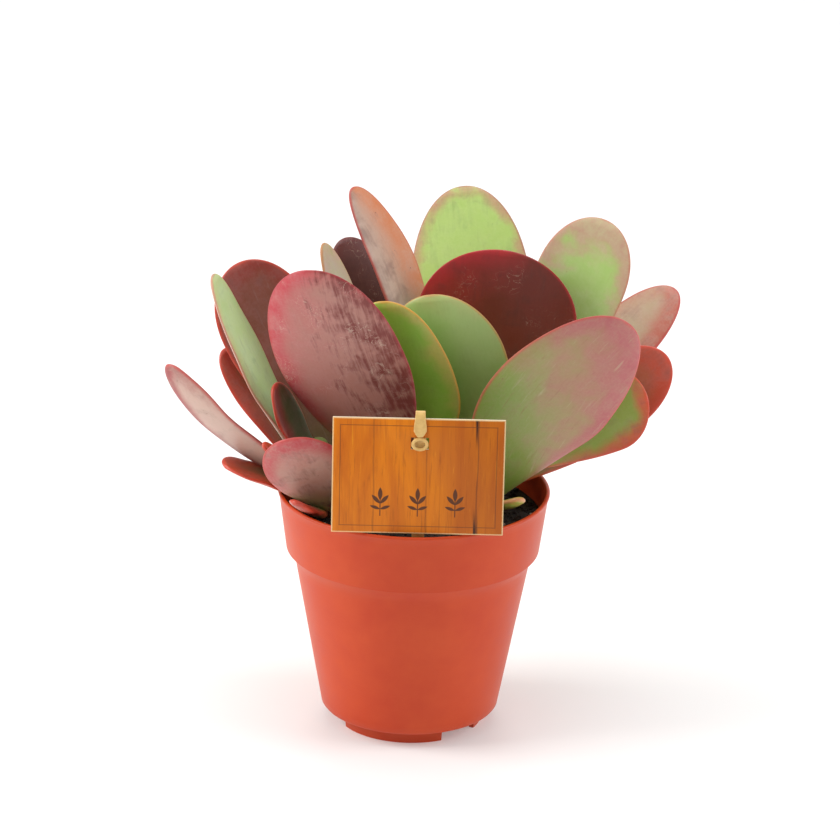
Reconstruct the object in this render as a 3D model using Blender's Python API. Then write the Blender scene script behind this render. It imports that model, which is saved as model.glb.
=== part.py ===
"""A paddle plant (a flat-leaved rosette succulent) in its plastic nursery pot, with a picture tag.

Metres, +Z up. The pot stands on z = 0. +X is to the right and +Y away from the side with the tag.
The origin lies on the ground under the middle of the plant's whole spread, so the pot's own axis is
AXIS_X and AXIS_Y away from it. Sizes below are in millimetres and turned into metres where they are used.
"""

import math

import bmesh
import bpy
import numpy as np
from mathutils import Vector

MM = 0.001
GAP = 0.3  # between neighbours that touch
AXIS_X = -3.8  # where the pot's axis stands
AXIS_Y = -14.7

# The pot's turned outline, as (radius, height): outside from the foot up, then inside from the rim down
FOOT_OUTSIDE = [(31.5, 0.0), (32.3, 0.0), (33.0, 7.0), (38.6, 7.0), (39.4, 8.0)]
WALL_OUTSIDE = [(51.6, 74.0), (53.6, 77.5), (55.6, 82.0), (56.3, 85.5), (59.6, 108.6), (60.0, 109.0)]
WALL_INSIDE = [(58.6, 109.0), (54.9, 86.0), (50.0, 72.0), (38.0, 9.5), (0.0, 9.5)]
FLOOR_UNDER = [(0.0, 8.0), (29.5, 8.0), (30.2, 0.0)]
POT_SIDES = 60
FOOT_HEIGHT = 7.0
FOOT_NOTCH_DEGREES = 36.0
FOOT_NOTCH_MIDDLES = (45.0, 166.0, 282.0)  # turned from the front towards the right
NOTCH_NEAR = 26.0  # the notches reach from inside the foot ring to outside it
NOTCH_FAR = 36.5
DRAIN_RING_RADIUS = 22.0
DRAIN_RADIUS = 4.0
DRAIN_COUNT = 6
DRAIN_SIDES = 16
CUT_PAST = 2.0  # how far a cut runs past a face

SOIL_TOP = 97.0
SOIL_SIDE = [(37.5, 9.8), (48.9, 72.0), (53.6, 86.0)]  # (radius, height) from its bottom up to its rim
SOIL_RADIUS_TOP = 56.2
SOIL_GRAIN = 0.9  # height of the soft unevenness on top
SOIL_WAVES = ((1.0, 0.21, 3), (0.6, 0.37, -5))  # share of it, turns along the radius, turns round the axis
SOIL_SIDES = 40
SOIL_RINGS = 7
HOLE_FOOT = 78.0  # height at which the holes for the stems end
HOLE_TOP = 103.0

# Each stem leans from its foot to its top: (foot x, y), (top x, y, z), foot radius, top radius
STEMS = {
    "main": ((-4.0, 4.0), (9.0, 10.0, 152.0), 6.5, 4.5),
    "left": ((-34.0, -4.0), (-42.0, 0.0, 128.0), 5.5, 4.0),
    "right": ((30.0, 2.0), (36.0, 6.0, 128.5), 5.5, 4.0),
}
STEM_LEVEL = 90.0  # height at which the foot values above hold
STEM_SIDES = 16
STEM_DOME = ((0.7, 0.55), (0.0, 0.8))  # (radius, rise) as shares of the top radius

# Leaf blades
BLADE_THICKNESS = 4.0
SWELL_AT_NECK = 1.25  # thickness there, as a share
SWELL_LOST = 0.6  # by the tip
EDGE_ROUNDNESS = 2.5
NECK_WIDTH = 9.0
NECK_REACH = 2.0  # half the neck's thickness, less what its slant gives back
NECK_SHARE = 0.36  # the same across the neck, as a share of its width
NECK_GAP = 0.4  # to the stem
TIP_POWER = 2.2  # how blunt the tip is
LAST_SECTION = 0.985  # of the way along the rib
TIP_POINT = 0.004  # of the length further on
SECTIONS = 10
SECTION_CROWDING = 0.9  # towards the tip
HALF_POINTS = 3
POINT_CROWDING = 0.85  # towards the margin
CUP = 0.06

PINK = (0.48, 0.20, 0.18)
RED = (0.28, 0.045, 0.04)
GREEN = (0.26, 0.42, 0.10)
GREY_GREEN = (0.20, 0.28, 0.12)

# One row for each leaf: name, stem, height on it, direction round it, tip (x, y, z), width,
# direction that its inner face looks (degrees round, degrees up), bow, sweep, widest place, colour
LEAVES = [
    ("leaf_front_left", "main", 112, 241, (-46, -40, 222), 60, (75, 25), 0.05, 0.06, 0.60, PINK),
    ("leaf_centre_green", "main", 120, 290, (-15, -20, 202), 48, (72, 10), 0.03, 0.0, 0.47, GREEN),
    ("leaf_centre_pale", "right", 116, 225, (5, -10, 202), 55, (76, 20), 0.03, 0.0, 0.58, GREY_GREEN),
    ("leaf_centre_maroon", "right", 130, 150, (38, 26, 211), 71, (265, 30), 0.03, 0.0, 0.60, RED),
    ("leaf_back_green", "right", 124, 130, (19, 80, 223), 54, (265, 20), 0.03, 0.0, 0.56, GREEN),
    ("leaf_right_back", "right", 127, 40, (82, 38, 222), 42, (255, 25), 0.03, 0.0, 0.72, GREEN),
    ("leaf_right_far", "right", 121, 78, (115, 61, 183), 31, (235, 25), 0.04, 0.0, 0.66, PINK),
    ("leaf_right_red", "right", 112, 15, (110, 13, 168), 34, (249, 9), 0.08, 0.0, 0.66, RED),
    ("leaf_right_low", "right", 119.4, 305, (101, -5, 155.3), 37, (272, 22), 0.06, -0.10, 0.74, RED),
    ("leaf_right_front", "right", 109, 302, (90, -36, 200), 60, (95, 30), 0.07, 0.16, 0.52, PINK),
    ("leaf_right_small", "right", 102, 283, (46, -40, 120), 11, (100, 60), 0.05, 0.0, 0.60, GREEN),
    ("leaf_low_front", "left", 101.5, 310, (-54.5, -44, 147), 39, (85, 25), 0.10, 0.0, 0.60, PINK),
    ("leaf_low_edge", "left", 99.2, 232, (-50.5, -49.1, 119.9), 12, (45, 64), 0.04, 0.0, 0.60, GREEN),
    ("leaf_far_left", "left", 113, 194, (-108, -6, 166), 26, (42, 20), 0.14, 0.10, 0.60, PINK),
    ("leaf_low_left", "left", 105.5, 165, (-84, -11, 122.5), 24, (355, 79), 0.0, 0.0, 0.60, RED),
    ("leaf_left_tiny", "left", 107, 234, (-65.5, -31, 139.5), 10, (300, 60), 0.0, 0.0, 0.60, RED),
    ("leaf_left_red", "left", 113, 138, (-86, 30, 160.5), 21, (290, 20), 0.05, 0.06, 0.60, RED),
    ("leaf_left_pale", "left", 120, 182, (-89.5, 4, 204), 34, (350, 10), 0.05, 0.0, 0.60, GREEN),
    ("leaf_left_brown", "left", 122, 60, (-80, 36, 199), 43, (275, 20), 0.05, 0.0, 0.66, RED),
    ("leaf_left_dark", "left", 117.5, 261, (-61.5, -17.5, 162), 19, (335, 10), 0.05, 0.0, 0.60, RED),
    ("leaf_back_tall", "main", 140, 95, (-30.5, 38, 234), 28, (325, 10), -0.05, 0.14, 0.60, PINK),
    ("leaf_back_maroon", "main", 134, 130, (-33, 57, 205), 31, (300, 20), 0.03, 0.0, 0.66, RED),
    ("leaf_back_grey", "main", 128, 200, (-42, 18, 215), 20, (330, 10), 0.03, 0.0, 0.60, GREY_GREEN),
    ("leaf_rear_left_up", "left", 114, 62, (-33, 90, 149), 32, (275, 35), 0.05, 0.0, 0.60, GREEN),
    ("leaf_rear_right_up", "right", 113, 86, (62, 86, 156), 36, (262, 30), 0.05, 0.0, 0.60, GREEN),
    ("leaf_rear_middle_up", "main", 130, 80, (38, 88, 164), 39, (265, 28), 0.05, 0.0, 0.60, GREEN),
    ("leaf_rear_left_low", "left", 105, 90, (-56, 80, 136), 34, (285, 45), 0.05, 0.0, 0.60, GREEN),
    ("leaf_rear_middle_low", "main", 106, 100, (-14, 80, 138), 42, (270, 45), 0.05, 0.0, 0.60, GREEN),
    ("leaf_rear_right_low", "right", 106, 85, (58, 80, 134), 38, (260, 50), 0.05, 0.0, 0.60, GREEN),
]

# The picture tag hangs on a bent stake that stands in the soil behind it
TAG_WIDTH = 73.5
TAG_HEIGHT = 52.6
TAG_THICKNESS = 1.0
TAG_MIDDLE_X = 1.75
TAG_Y = -56.0
TAG_BOTTOM = 109.7
TAG_SLOT_WIDTH = 7.6  # the loop of the stake passes through it
TAG_SLOT_HEIGHT = 5.4
TAG_SLOT_DROP = 11.3  # from the top edge to the slot's middle
STAKE_X = 2.2
STAKE_THICKNESS = 1.2
STAKE_WIDTH = 5.3
STAKE_FOOT = 80.0
STAKE_LEAN = 8.0  # the leg slants this far towards the middle below the card
STAKE_WAIST = 4.4  # its width where it starts to bend over the card
WAIST_BELOW_BEND = 4.0
BEND_RISE = 2.6
BEND_WIDTH = 4.2
BEND_STEPS = 6
TONGUE = [(0.0, 4.4), (3.5, 5.4), (5.5, 5.6), (7.0, 4.0)]  # (drop from the bend, width)
TONGUE_NECK = 2.2
LOOP_WIRE = 0.7
LOOP_ACROSS = 3.0  # half width and half height of the eyelet's wire
LOOP_UP = 2.34
LOOP_SIDES = 20
WIRE_SIDES = 6


def unit(vector):
    """The vector at length one."""
    return vector / np.linalg.norm(vector, axis=-1, keepdims=True)


def heading(round_degrees, up_degrees=0.0):
    """The unit vector that looks this way round and up."""
    a = math.radians(round_degrees)
    e = math.radians(up_degrees)
    return np.array([math.cos(a) * math.cos(e), math.sin(a) * math.cos(e), math.sin(e)])


def make_material(name, colour, roughness, metallic=0.0):
    """A Principled material of one colour."""
    material = bpy.data.materials.new(name)
    material.use_nodes = True
    shader = material.node_tree.nodes["Principled BSDF"]
    shader.inputs["Base Color"].default_value = (*colour, 1.0)
    shader.inputs["Roughness"].default_value = roughness
    shader.inputs["Metallic"].default_value = metallic
    return material


def finish(bm, name, material, parent, place=(0.0, 0.0, 0.0)):
    """Turns a bmesh that is drawn in millimetres into a named object at its place."""
    bmesh.ops.scale(bm, vec=(MM, MM, MM), verts=bm.verts)
    bmesh.ops.recalc_face_normals(bm, faces=bm.faces)
    mesh = bpy.data.meshes.new(name)
    bm.to_mesh(mesh)
    bm.free()
    mesh.materials.append(material)
    mesh.shade_smooth()
    mesh.set_sharp_from_angle(angle=math.radians(40))
    obj = bpy.data.objects.new(name, mesh)
    bpy.context.scene.collection.objects.link(obj)
    obj.parent = parent
    obj.location = Vector(place) * MM
    return obj


def spun(outline, sides):
    """A closed body turned about Z from (radius, height) points, given as a loop or ending on the axis."""
    bm = bmesh.new()
    verts = [bm.verts.new((radius, 0.0, height)) for radius, height in outline]
    edges = [bm.edges.new(pair) for pair in zip(verts, verts[1:])]
    bmesh.ops.spin(bm, geom=verts + edges, cent=(0, 0, 0), axis=(0, 0, 1), angle=2 * math.pi,
                   steps=sides, use_merge=True, use_duplicate=False)
    bmesh.ops.remove_doubles(bm, verts=bm.verts, dist=0.001)
    return bm


def cutter(name, bm, target, parent, place=(0.0, 0.0, 0.0)):
    """Cuts the target with the given body, which stays as a hidden helper."""
    bmesh.ops.scale(bm, vec=(MM, MM, MM), verts=bm.verts)
    bmesh.ops.recalc_face_normals(bm, faces=bm.faces)
    mesh = bpy.data.meshes.new(name)
    bm.to_mesh(mesh)
    bm.free()
    obj = bpy.data.objects.new(name, mesh)
    bpy.context.scene.collection.objects.link(obj)
    obj.parent = parent
    obj.location = Vector(place) * MM
    obj.hide_render = True
    obj.display_type = "WIRE"
    cut = target.modifiers.new(name, "BOOLEAN")
    cut.operation = "DIFFERENCE"
    cut.object = obj
    return obj


def box(size):
    """A box of this size about its middle."""
    bm = bmesh.new()
    bmesh.ops.create_cube(bm, size=1.0)
    bmesh.ops.scale(bm, vec=size, verts=bm.verts)
    return bm


def lofted(rings, first_cap=None, last_cap=None):
    """A closed body through rings of points, each end closed flat or to a point."""
    bm = bmesh.new()
    rows = [[bm.verts.new(point) for point in ring] for ring in rings]
    count = len(rows[0])
    for low, high in zip(rows, rows[1:]):
        for j in range(count):
            k = (j + 1) % count
            bm.faces.new((low[j], low[k], high[k], high[j]))
    for row, cap in ((rows[0], first_cap), (rows[-1], last_cap)):
        if cap is None:
            bm.faces.new(row)
            continue
        middle = bm.verts.new(cap)
        for j in range(count):
            bm.faces.new((row[j], row[(j + 1) % count], middle))
    return bm


def foot_notch(middle_degrees):
    """A wedge that opens the foot ring between two of its segments, with flat sides towards the axis."""
    half = math.radians(FOOT_NOTCH_DEGREES / 2)
    middle = math.radians(middle_degrees)
    low, high = -CUT_PAST, FOOT_HEIGHT
    corners = []
    for radius, side in ((NOTCH_NEAR, -1), (NOTCH_NEAR, 1), (NOTCH_FAR, 1), (NOTCH_FAR, -1)):
        angle = middle + side * half
        corners.append((radius * math.sin(angle), -radius * math.cos(angle)))
    return lofted([[(x, y, low) for x, y in corners], [(x, y, high) for x, y in corners]])


def build_pot(parent, material):
    """The thin-walled pot with its collar, its foot ring in three segments and its drain holes."""
    outline = FOOT_OUTSIDE + WALL_OUTSIDE + WALL_INSIDE
    bm = spun(outline + FLOOR_UNDER + FOOT_OUTSIDE[:1], POT_SIDES)
    pot = finish(bm, "pot", material, parent)
    for index, middle in enumerate(FOOT_NOTCH_MIDDLES):
        cutter(f"notch_cutter_{index}", foot_notch(middle), pot, parent)
    floor_middle = (FLOOR_UNDER[0][1] + WALL_INSIDE[-1][1]) / 2
    floor_thickness = WALL_INSIDE[-1][1] - FLOOR_UNDER[0][1]
    for index in range(DRAIN_COUNT):
        angle = 2 * math.pi * index / DRAIN_COUNT
        drain = bmesh.new()
        bmesh.ops.create_cone(drain, cap_ends=True, segments=DRAIN_SIDES, radius1=DRAIN_RADIUS,
                              radius2=DRAIN_RADIUS, depth=floor_thickness + 2 * CUT_PAST)
        place = (DRAIN_RING_RADIUS * math.cos(angle), DRAIN_RING_RADIUS * math.sin(angle), floor_middle)
        cutter(f"drain_cutter_{index}", drain, pot, parent, place)
    return pot


def soil_height(radius, angle):
    """The uneven top of the soil, flat at its rim."""
    fade = 1.0 - (radius / SOIL_RADIUS_TOP) ** 4
    waves = [share * math.sin(slope * radius + turns * angle) for share, slope, turns in SOIL_WAVES]
    return SOIL_TOP + SOIL_GRAIN * fade * sum(waves)


def build_soil(parent, material):
    """The block of potting soil, with a plain hole for each stem and for the stake."""
    rings = [[corner] * SOIL_SIDES for corner in SOIL_SIDE]
    for step in range(SOIL_RINGS):
        radius = SOIL_RADIUS_TOP * (1 - step / SOIL_RINGS)
        rings.append([(radius, soil_height(radius, 2 * math.pi * j / SOIL_SIDES)) for j in range(SOIL_SIDES)])
    points = []
    for ring in rings:
        row = []
        for j, (radius, height) in enumerate(ring):
            angle = 2 * math.pi * j / SOIL_SIDES
            row.append((radius * math.cos(angle), radius * math.sin(angle), height))
        points.append(row)
    soil = finish(lofted(points, last_cap=(0.0, 0.0, SOIL_TOP)), "soil", material, parent)
    for name in STEMS:
        foot, foot_radius = stem_at(name, HOLE_FOOT)
        top, top_radius = stem_at(name, HOLE_TOP)
        hole = tapered(foot, top, foot_radius + GAP, top_radius + GAP)
        cutter(f"hole_cutter_{name}", hole, soil, parent)
    slot = strip(stake_leg(STAKE_FOOT - GAP), [STAKE_WIDTH + 2 * GAP] * 2, STAKE_THICKNESS + 2 * GAP)
    cutter("hole_cutter_stake", slot, soil, parent, (STAKE_X, TAG_Y, 0.0))
    return soil


def stem_at(name, height):
    """The middle and the radius of a stem at a height."""
    foot, top, foot_radius, top_radius = STEMS[name]
    k = (height - STEM_LEVEL) / (top[2] - STEM_LEVEL)
    start = np.array([foot[0], foot[1], STEM_LEVEL])
    middle = start + (np.array(top) - start) * k
    return middle, foot_radius + (top_radius - foot_radius) * k


def tapered(low, high, low_radius, high_radius, domed=False):
    """A round bar between two points, with level ends or a domed top."""
    steps = [(0.0, low_radius), (1.0, high_radius)]
    angles = np.arange(STEM_SIDES) * 2 * np.pi / STEM_SIDES
    circle = np.stack([np.cos(angles), np.sin(angles), np.zeros(STEM_SIDES)], axis=1)
    rings = [low + (high - low) * k + circle * radius for k, radius in steps]
    if not domed:
        return lofted(rings)
    (waist, rise), (_, top_rise) = STEM_DOME
    rings.append(high + circle * high_radius * waist + np.array([0.0, 0.0, rise * high_radius]))
    return lofted(rings, last_cap=high + np.array([0.0, 0.0, top_rise * high_radius]))


def build_stem(name, parent, material):
    """One fleshy stem, standing in its hole in the soil."""
    foot, foot_radius = stem_at(name, HOLE_FOOT + GAP)
    top = np.array(STEMS[name][1])
    bm = tapered(foot, top, foot_radius, STEMS[name][3], domed=True)
    return finish(bm, f"stem_{name}", material, parent)


def width_at(t, widest, neck):
    """The blade's width along its rib as a share of its full width, with a round tip."""
    rise = np.sin(np.pi / 2 * np.clip(t / widest, 0, 1))
    lower = neck + (1 - neck) * rise
    upper = np.sqrt(1 - np.clip((t - widest) / (1 - widest), 0, 1) ** TIP_POWER)
    return np.where(t < widest, lower, upper)


def leaf_seat(stem, height, direction, tip, width, face):
    """Where a blade starts beside its stem, and the way that its inner face looks there."""
    middle, radius = stem_at(stem, height)
    outward = heading(direction)
    base = middle + outward * radius
    for _ in range(3):
        along = unit(tip - base)
        inner = heading(*face)
        inner = unit(inner - along * (inner @ along))
        across = np.cross(along, inner)
        neck = min(NECK_WIDTH, 0.5 * width)
        reach = NECK_REACH * abs(inner @ outward) + NECK_SHARE * neck * abs(across @ outward)
        base = middle + outward * (radius + NECK_GAP + reach)
    return base, inner, across


def leaf_rings(base, tip, inner, across, width, bow, sweep, widest):
    """The blade's cross sections, from its neck to near its tip, as rings of points."""
    length = np.linalg.norm(tip - base)
    bend = (base + tip) / 2 - inner * bow * length + across * sweep * length
    t = LAST_SECTION * np.sin(np.linspace(0, 1, SECTIONS) * np.pi / 2) ** SECTION_CROWDING
    t[0] = 0.0
    k = t[:, None]
    rib = (1 - k) ** 2 * base + 2 * k * (1 - k) * bend + k**2 * tip
    along = unit((1 - k) * (bend - base) + k * (tip - bend))
    normal = unit(inner - along * (along @ inner)[:, None])
    side = np.cross(along, normal)
    half = width / 2 * width_at(t, widest, min(0.5, NECK_WIDTH / width))
    thickness = BLADE_THICKNESS * (SWELL_AT_NECK - SWELL_LOST * t)
    s = np.linspace(-1, 1, 2 * HALF_POINTS + 1)
    s = np.sign(s) * np.abs(s) ** POINT_CROWDING
    rounded = np.sqrt(1 - np.abs(s) ** EDGE_ROUNDNESS)
    sheet = rib[:, None] + side[:, None] * (half[:, None] * s)[..., None]
    sheet = sheet + normal[:, None] * (CUP * half[:, None] * s**2)[..., None]
    lift = (thickness[:, None] / 2 * rounded)[..., None] * normal[:, None]
    rings = np.concatenate([sheet + lift, (sheet - lift)[:, -2:0:-1]], axis=1)
    return rings, rib[-1] + along[-1] * TIP_POINT * length


def build_leaf(row, parent, materials):
    """One paddle-shaped leaf, whose origin is at its neck beside the stem."""
    name, stem, height, direction, tip, width, face, bow, sweep, widest, colour = row
    tip = np.array(tip, float)
    base, inner, across = leaf_seat(stem, height, direction, tip, width, face)
    rings, end = leaf_rings(base, tip, inner, across, width, bow, sweep, widest)
    bm = lofted(rings - base, first_cap=rings[0].mean(axis=0) - base, last_cap=end - base)
    return finish(bm, name, materials[colour], parent, base)


def stake_offset():
    """How far behind the card's middle the stake's middle lies."""
    return TAG_THICKNESS / 2 + GAP + STAKE_THICKNESS / 2


def stake_leg(foot_height):
    """The stake's slanting leg in the YZ plane, from its foot in the soil to the card's bottom edge."""
    knee = (stake_offset(), TAG_BOTTOM)
    slope = STAKE_LEAN / (TAG_BOTTOM - STAKE_FOOT)
    return [(knee[0] + slope * (knee[1] - foot_height), foot_height), knee]


def build_card(parent, material):
    """The flat picture card with its slot."""
    place = (TAG_MIDDLE_X, TAG_Y, TAG_BOTTOM + TAG_HEIGHT / 2)
    card = finish(box((TAG_WIDTH, TAG_THICKNESS, TAG_HEIGHT)), "tag_card", material, parent, place)
    slot = box((TAG_SLOT_WIDTH, 4 * TAG_THICKNESS, TAG_SLOT_HEIGHT))
    slot_place = (STAKE_X, TAG_Y, TAG_BOTTOM + TAG_HEIGHT - TAG_SLOT_DROP)
    cutter("slot_cutter", slot, card, parent, slot_place)
    return card


def strip(path, widths, thickness):
    """A flat strip along a path in the YZ plane, of varying width, with square ends."""
    path = np.array(path, float)
    along = unit(np.gradient(path, axis=0))
    rings = []
    for (y, z), (dy, dz), width in zip(path, along, widths):
        out_y, out_z = -dz * thickness / 2, dy * thickness / 2
        rings.append([(-width / 2, y + out_y, z + out_z), (width / 2, y + out_y, z + out_z),
                      (width / 2, y - out_y, z - out_z), (-width / 2, y - out_y, z - out_z)])
    return lofted(rings)


def build_stake(parent, material):
    """The stake: up behind the card, over its top edge, and down its front as a short tongue."""
    top = TAG_BOTTOM + TAG_HEIGHT + GAP
    back = stake_offset()
    path = stake_leg(STAKE_FOOT) + [(back, top - WAIST_BELOW_BEND), (back, top)]
    widths = [STAKE_WIDTH, STAKE_WIDTH, STAKE_WIDTH, STAKE_WAIST]
    for index in range(1, BEND_STEPS):
        angle = math.pi * index / BEND_STEPS
        path.append((back * math.cos(angle), top + BEND_RISE * math.sin(angle)))
        widths.append(BEND_WIDTH)
    path += [(-back, top - drop) for drop, _ in TONGUE]
    widths += [width for _, width in TONGUE]
    eyelet_top = TAG_BOTTOM + TAG_HEIGHT - TAG_SLOT_DROP + LOOP_UP + LOOP_WIRE
    path.append((-back, eyelet_top + GAP))
    widths.append(TONGUE_NECK)
    return finish(strip(path, widths, STAKE_THICKNESS), "tag_stake", material, parent, (STAKE_X, TAG_Y, 0.0))


def build_ring(parent, material):
    """The small eyelet below the tongue, lying on the card's front."""
    ring = bmesh.new()
    rings = []
    for i in range(LOOP_SIDES):
        angle = 2 * math.pi * i / LOOP_SIDES
        middle = np.array([LOOP_ACROSS * math.cos(angle), 0.0, LOOP_UP * math.sin(angle)])
        out = np.array([math.cos(angle), 0.0, math.sin(angle)])
        row = []
        for j in range(WIRE_SIDES):
            turn = 2 * math.pi * j / WIRE_SIDES
            round_wire = out * math.cos(turn) + np.array([0, math.sin(turn), 0])
            row.append(ring.verts.new(middle + LOOP_WIRE * round_wire))
        rings.append(row)
    for i in range(LOOP_SIDES):
        after = rings[(i + 1) % LOOP_SIDES]
        for j in range(WIRE_SIDES):
            k = (j + 1) % WIRE_SIDES
            ring.faces.new((rings[i][j], rings[i][k], after[k], after[j]))
    front = TAG_Y - TAG_THICKNESS / 2 - GAP - LOOP_WIRE
    place = (STAKE_X, front, TAG_BOTTOM + TAG_HEIGHT - TAG_SLOT_DROP)
    return finish(ring, "tag_ring", material, parent, place)


def main():
    """Builds the whole plant about one empty on the pot's axis."""
    for obj in list(bpy.data.objects):
        bpy.data.objects.remove(obj, do_unlink=True)
    plant = bpy.data.objects.new("plant", None)
    bpy.context.scene.collection.objects.link(plant)
    plant.location = (AXIS_X * MM, AXIS_Y * MM, 0.0)

    build_pot(plant, make_material("pot plastic", (0.62, 0.13, 0.06), 0.42))
    build_soil(plant, make_material("potting soil", (0.025, 0.016, 0.012), 0.95))
    stem_skin = make_material("stem skin", (0.24, 0.33, 0.12), 0.6)
    for name in STEMS:
        build_stem(name, plant, stem_skin)
    leaf_skins = {
        PINK: make_material("pink leaf skin", PINK, 0.5),
        RED: make_material("red leaf skin", RED, 0.38),
        GREEN: make_material("green leaf skin", GREEN, 0.45),
        GREY_GREEN: make_material("grey green leaf skin", GREY_GREEN, 0.5),
    }
    for row in LEAVES:
        build_leaf(row, plant, leaf_skins)
    build_card(plant, make_material("card print", (0.70, 0.25, 0.01), 0.45))
    stake_plastic = make_material("stake plastic", (0.72, 0.50, 0.22), 0.45)
    build_stake(plant, stake_plastic)
    build_ring(plant, stake_plastic)


if __name__ == "__main__":
    main()
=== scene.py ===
"""The looks of a paddle plant in its plastic nursery pot, with a picture tag on a stake.

Metres, Z up. Sizes below are millimetres about the pot's axis, and PLACE moves them to where the pot stands.
"""

import logging
import math
from dataclasses import dataclass, field, replace
from enum import Enum

import bmesh
import bpy
import numpy as np
from mathutils import Matrix, Vector


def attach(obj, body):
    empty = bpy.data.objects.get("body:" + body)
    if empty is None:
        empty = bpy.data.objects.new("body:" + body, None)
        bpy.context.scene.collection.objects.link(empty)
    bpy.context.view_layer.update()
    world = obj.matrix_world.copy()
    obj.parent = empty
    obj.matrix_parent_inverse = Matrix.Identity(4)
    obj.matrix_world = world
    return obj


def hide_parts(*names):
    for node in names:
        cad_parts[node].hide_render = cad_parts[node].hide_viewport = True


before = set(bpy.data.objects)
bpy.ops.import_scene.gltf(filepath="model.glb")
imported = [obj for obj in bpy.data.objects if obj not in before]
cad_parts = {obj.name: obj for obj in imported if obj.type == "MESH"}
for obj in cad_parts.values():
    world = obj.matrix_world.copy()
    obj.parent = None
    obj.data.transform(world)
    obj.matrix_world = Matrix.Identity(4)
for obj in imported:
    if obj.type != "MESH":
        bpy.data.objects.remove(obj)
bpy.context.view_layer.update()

LOG = logging.getLogger("paddle plant")
MM = 0.001
GAP = 0.3  # between neighbours that touch
PLACE = np.array([-3.8, -14.7, 0.0])  # where the pot's axis stands
STEM_LEVEL = 90.0  # the height at which a stem's foot is measured
SOIL_TOP = 97.0
Colour = tuple[float, float, float]


def paint_colour(red: int, green: int, blue: int) -> Colour:
    """Turns a colour named as on a paint chart, 0 to 255 a channel, into linear light.

    Args:
        red: Red, 0 to 255.
        green: Green, 0 to 255.
        blue: Blue, 0 to 255.

    Returns:
        The linear colour.
    """
    shares = (red / 255, green / 255, blue / 255)
    return tuple(c / 12.92 if c < 0.0405 else ((c + 0.055) / 1.055) ** 2.4 for c in shares)


def unit(vector: np.ndarray) -> np.ndarray:
    """Returns the vectors at length one."""
    return vector / np.linalg.norm(vector, axis=-1, keepdims=True)


def heading(round_degrees: float, up_degrees: float = 0.0) -> np.ndarray:
    """Finds the unit vector that looks this way.

    Args:
        round_degrees: The turn from +X, anticlockwise from above.
        up_degrees: The tilt above level.

    Returns:
        The vector.
    """
    a = math.radians(round_degrees)
    e = math.radians(up_degrees)
    return np.array([math.cos(a) * math.cos(e), math.sin(a) * math.cos(e), math.sin(e)])


class Number:
    """A value in a material's node tree, on which ordinary arithmetic adds the nodes."""

    def __init__(self, paint: "Paint", socket: bpy.types.NodeSocket) -> None:
        """Wraps one output socket of the tree that the paint is building."""
        self.paint = paint
        self.socket = socket

    def _math(self, operation: str, *values: object) -> "Number":
        """Returns the result of one Math node on these values."""
        node = self.paint.node("ShaderNodeMath", {"operation": operation}, dict(enumerate(values)))
        return Number(self.paint, node.outputs[0])

    def __add__(self, other: object) -> "Number":
        """Returns the sum."""
        return self._math("ADD", self, other)

    def __sub__(self, other: object) -> "Number":
        """Returns the difference."""
        return self._math("SUBTRACT", self, other)

    def __rsub__(self, other: object) -> "Number":
        """Returns the difference with the number on the left."""
        return self._math("SUBTRACT", other, self)

    def __mul__(self, other: object) -> "Number":
        """Returns the product."""
        return self._math("MULTIPLY", self, other)

    def __truediv__(self, other: object) -> "Number":
        """Returns the quotient."""
        return self._math("DIVIDE", self, other)

    def __pow__(self, other: object) -> "Number":
        """Returns the power."""
        return self._math("POWER", self, other)

    def __abs__(self) -> "Number":
        """Returns the size without its sign."""
        return self._math("ABSOLUTE", self)

    __radd__ = __add__
    __rmul__ = __mul__

    def above(self, other: object) -> "Number":
        """Returns the larger of the two."""
        return self._math("MAXIMUM", self, other)

    def below(self, other: object) -> "Number":
        """Returns the smaller of the two."""
        return self._math("MINIMUM", self, other)

    def rise(self, low: float, high: float) -> "Number":
        """Eases from 0 to 1 while the value goes from low to high.

        Args:
            low: Where the rise starts.
            high: Where it ends. Below low, the value falls instead.

        Returns:
            The eased share.
        """
        settings = {"interpolation_type": "SMOOTHSTEP"}
        first, last, begin, end = (low, high, 0.0, 1.0) if low < high else (high, low, 1.0, 0.0)
        values = {"Value": self, "From Min": first, "From Max": last, "To Min": begin, "To Max": end}
        return Number(self.paint, self.paint.node("ShaderNodeMapRange", settings, values).outputs[0])


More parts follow.
